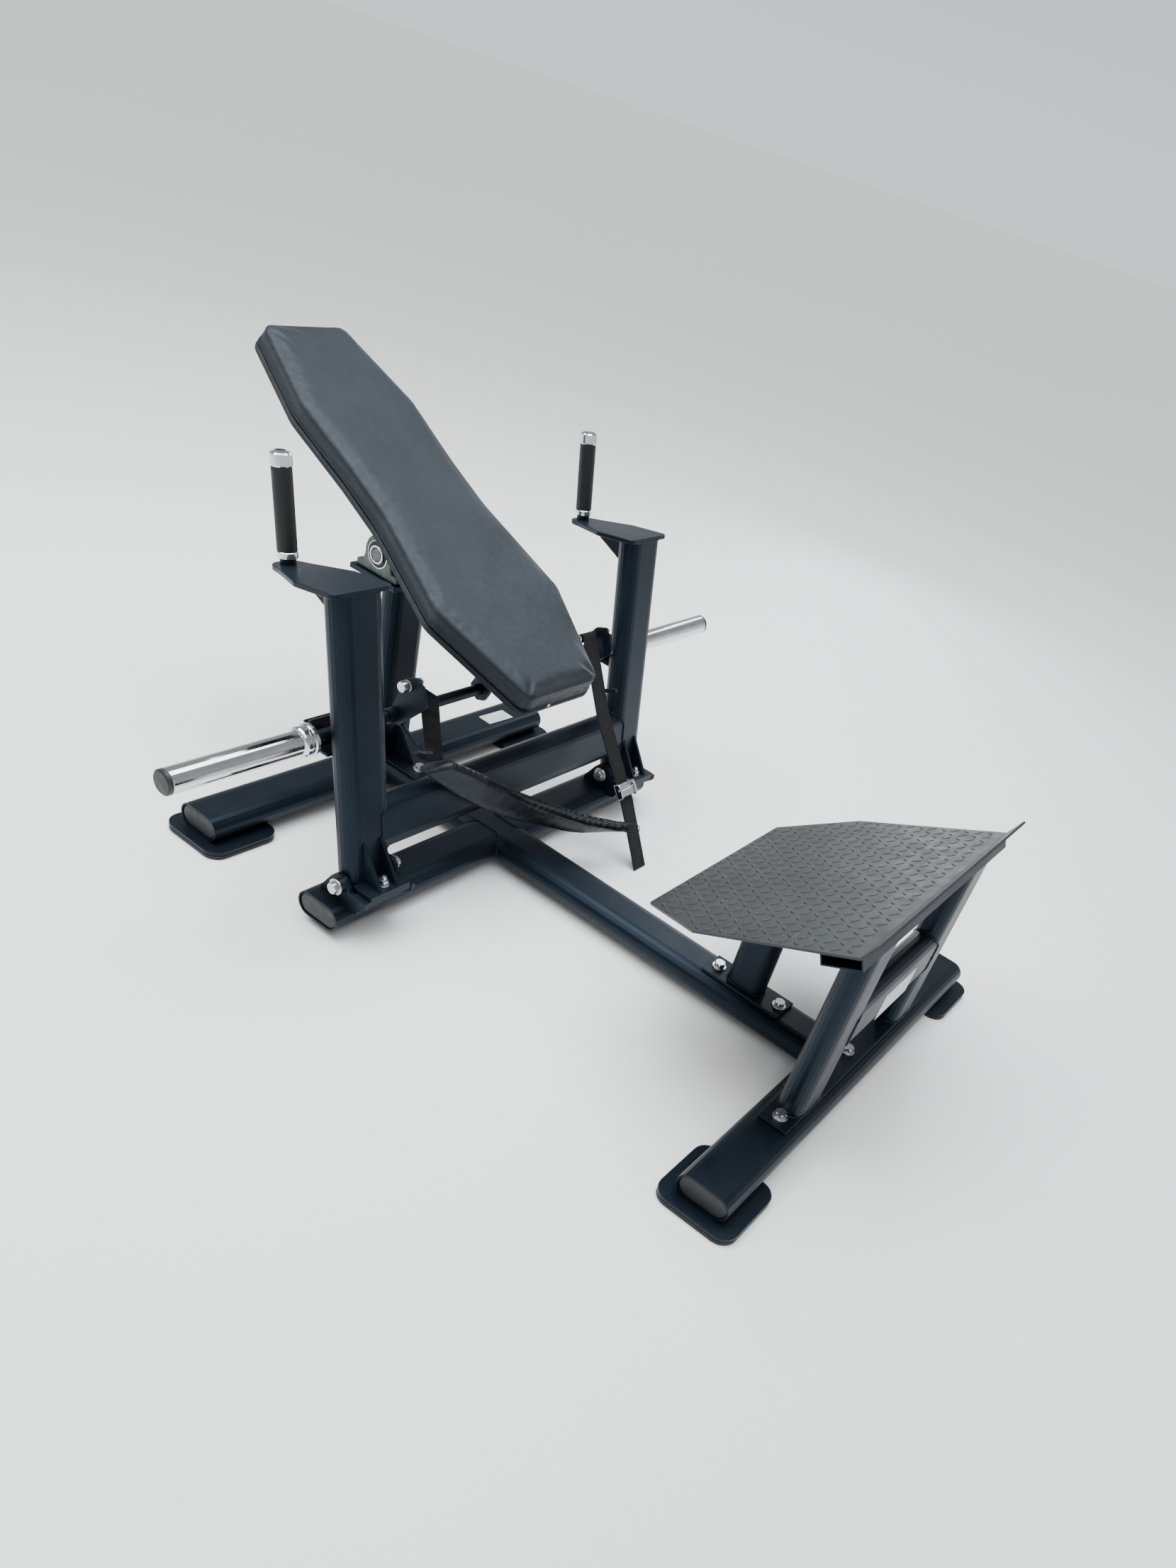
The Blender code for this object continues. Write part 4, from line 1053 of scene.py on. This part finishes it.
def build_welds():
    weld = Build()
    track = racetrack(TUBE_W + 0.001, TUBE_H + 0.001)
    mid = BEAM_TOP - TUBE_H / 2

    def bead(path, seed, radius=WELD_R):
        weld.tube(resample([tuple(p) for p in path], WELD_R), radius, 8, True, 0.5, seed)

    def level_bead(outline, x, y, way, seed):
        """A bead round the foot of an upright tube; way is where the tube's long side points."""
        foot = axes((x, y, WELD_BASE), way, Z_AXIS)
        bead([foot @ Vector((u, v, 0)) for u, v in outline], seed)

    for side in SIDES:
        bead(saddle(side, 0.030, track, axes((0, 0, mid), Y_AXIS, X_AXIS)), side)
    bead(saddle(1, -1.010, track, axes((0, 0, mid), X_AXIS, Y_AXIS)), 3)
    bead(saddle(-1, -0.365, track, axes((0, 0, mid), X_AXIS, Y_AXIS)), 4)
    brace = axes((0, STAND_Y, 0.283), Z_AXIS, X_AXIS)
    cross = axes((0, -0.0017, 0.227), (0, sin(LEAN), cos(LEAN)), X_AXIS)
    for side in SIDES:
        level_bead(track, side * 0.228, STAND_Y, X_AXIS, 5 + side)
        bead(saddle(-side, -0.198, track, brace), 8 + side)
        bead(saddle(-side, -0.430, track, cross), 11 + side)
        top = upright_frame(side)
        bead([top @ Vector((x, y, 0.6345)) for x, y in track], 14 + side, 0.0020)
    level_bead(track, 0, 0.392, X_AXIS, 20)
    level_bead(racetrack(0.095, 0.051), 0, -0.768, Y_AXIS, 21)
    weld.done("weld_beads", PAINT, "frame", 80)


# ---------------------------------------------------------------- footplate

LUG_PITCH = 0.0262
LUG_HALF = 0.0108
LUG_BREADTH = 0.0030
LUG_LEVELS = ((1.0, -0.0004), (0.93, 0.0006), (0.72, 0.0011), (0.35, 0.0013))


def inside(point, outline, margin):
    """Whether a point lies in a convex outline and at least a margin from its edges."""
    total = len(outline)
    for i in range(total):
        a = Vector(outline[i])
        b = Vector(outline[(i + 1) % total])
        edge = (b - a).normalized()
        if edge.x * (point.y - a.y) - edge.y * (point.x - a.x) < margin:
            return False
    return True


def build_tread():
    """Raised lens-shaped lugs, each set square to its neighbours."""
    outline = [(-0.259, 0.0), (0.259, 0.0), (0.356, 0.166), (0.360, 0.508), (-0.360, 0.508),
               (-0.356, 0.166)]
    place = footplate_frame()
    lugs = Build()
    for row in range(-2, 22):
        for column in range(-15, 16):
            x = column * LUG_PITCH
            y = 0.010 + row * LUG_PITCH
            turn = pi / 4 if (row + column) % 2 else -pi / 4
            along = Vector((cos(turn), sin(turn)))
            centre = Vector((x, y))
            if not (inside(centre + along * 0.010, outline, 0.001)
                    and inside(centre - along * 0.010, outline, 0.001)):
                continue
            rings = []
            for scale, high in LUG_LEVELS:
                ring = []
                for j in range(12):
                    angle = 2 * pi * j / 12
                    u = cos(angle) * LUG_HALF * scale
                    v = sin(angle) * LUG_BREADTH * scale * (1 - 0.55 * abs(cos(angle)))
                    ring.append(place @ Vector((x + along.x * u - along.y * v,
                                                y + along.y * u + along.x * v, high)))
                rings.append(ring)
            lugs.loft(rings)
    lugs.done("tread_lugs", TREAD, "frame", 50)


# ---------------------------------------------------------------- small trim


def label_patch(name, centre, x_dir, normal, width, height):
    place = axes(centre, x_dir, normal)
    w = width / 2
    h = height / 2
    outline = rounded([(-w, -h), (w, -h), (w, h), (-w, h)], 0.003, 4)
    patch = Build()
    patch.loft([[place @ Vector((x, y, z)) for x, y in outline] for z in (0.0001, 0.0004)])
    patch.done(name, LABEL, "frame")


def build_trim():
    label_patch("blank_label_brace", (0.0175, -1.0752, 0.2705), X_AXIS, (0, -1, 0), 0.155, 0.066)
    beam_spot = (0.414, 0.383, BEAM_TOP + 0.0001)
    label_patch("blank_label_beam", beam_spot, (1, -0.04, 0), Z_AXIS, 0.095, 0.045)
    place = pad_face_frame()
    snap = Build()
    snap.lathe([(0.0052, -0.001), (0.0052, 0.0006), (0.0040, 0.0016), (0.0018, 0.0022)],
               place @ axes((-0.040, -0.0006, -0.046), X_AXIS, (0, -1, 0)), 18)
    snap.done("pad_snap", BRASS, "pad")


def main():
    dress_cad_nodes()
    build_camera()
    build_stage()
    build_pad()
    build_belt()
    build_right_strap()
    build_left_strap()
    build_buckle_detail()
    build_fasteners()
    build_stop_screws()
    build_bearings()
    build_welds()
    build_tread()
    build_trim()


main()
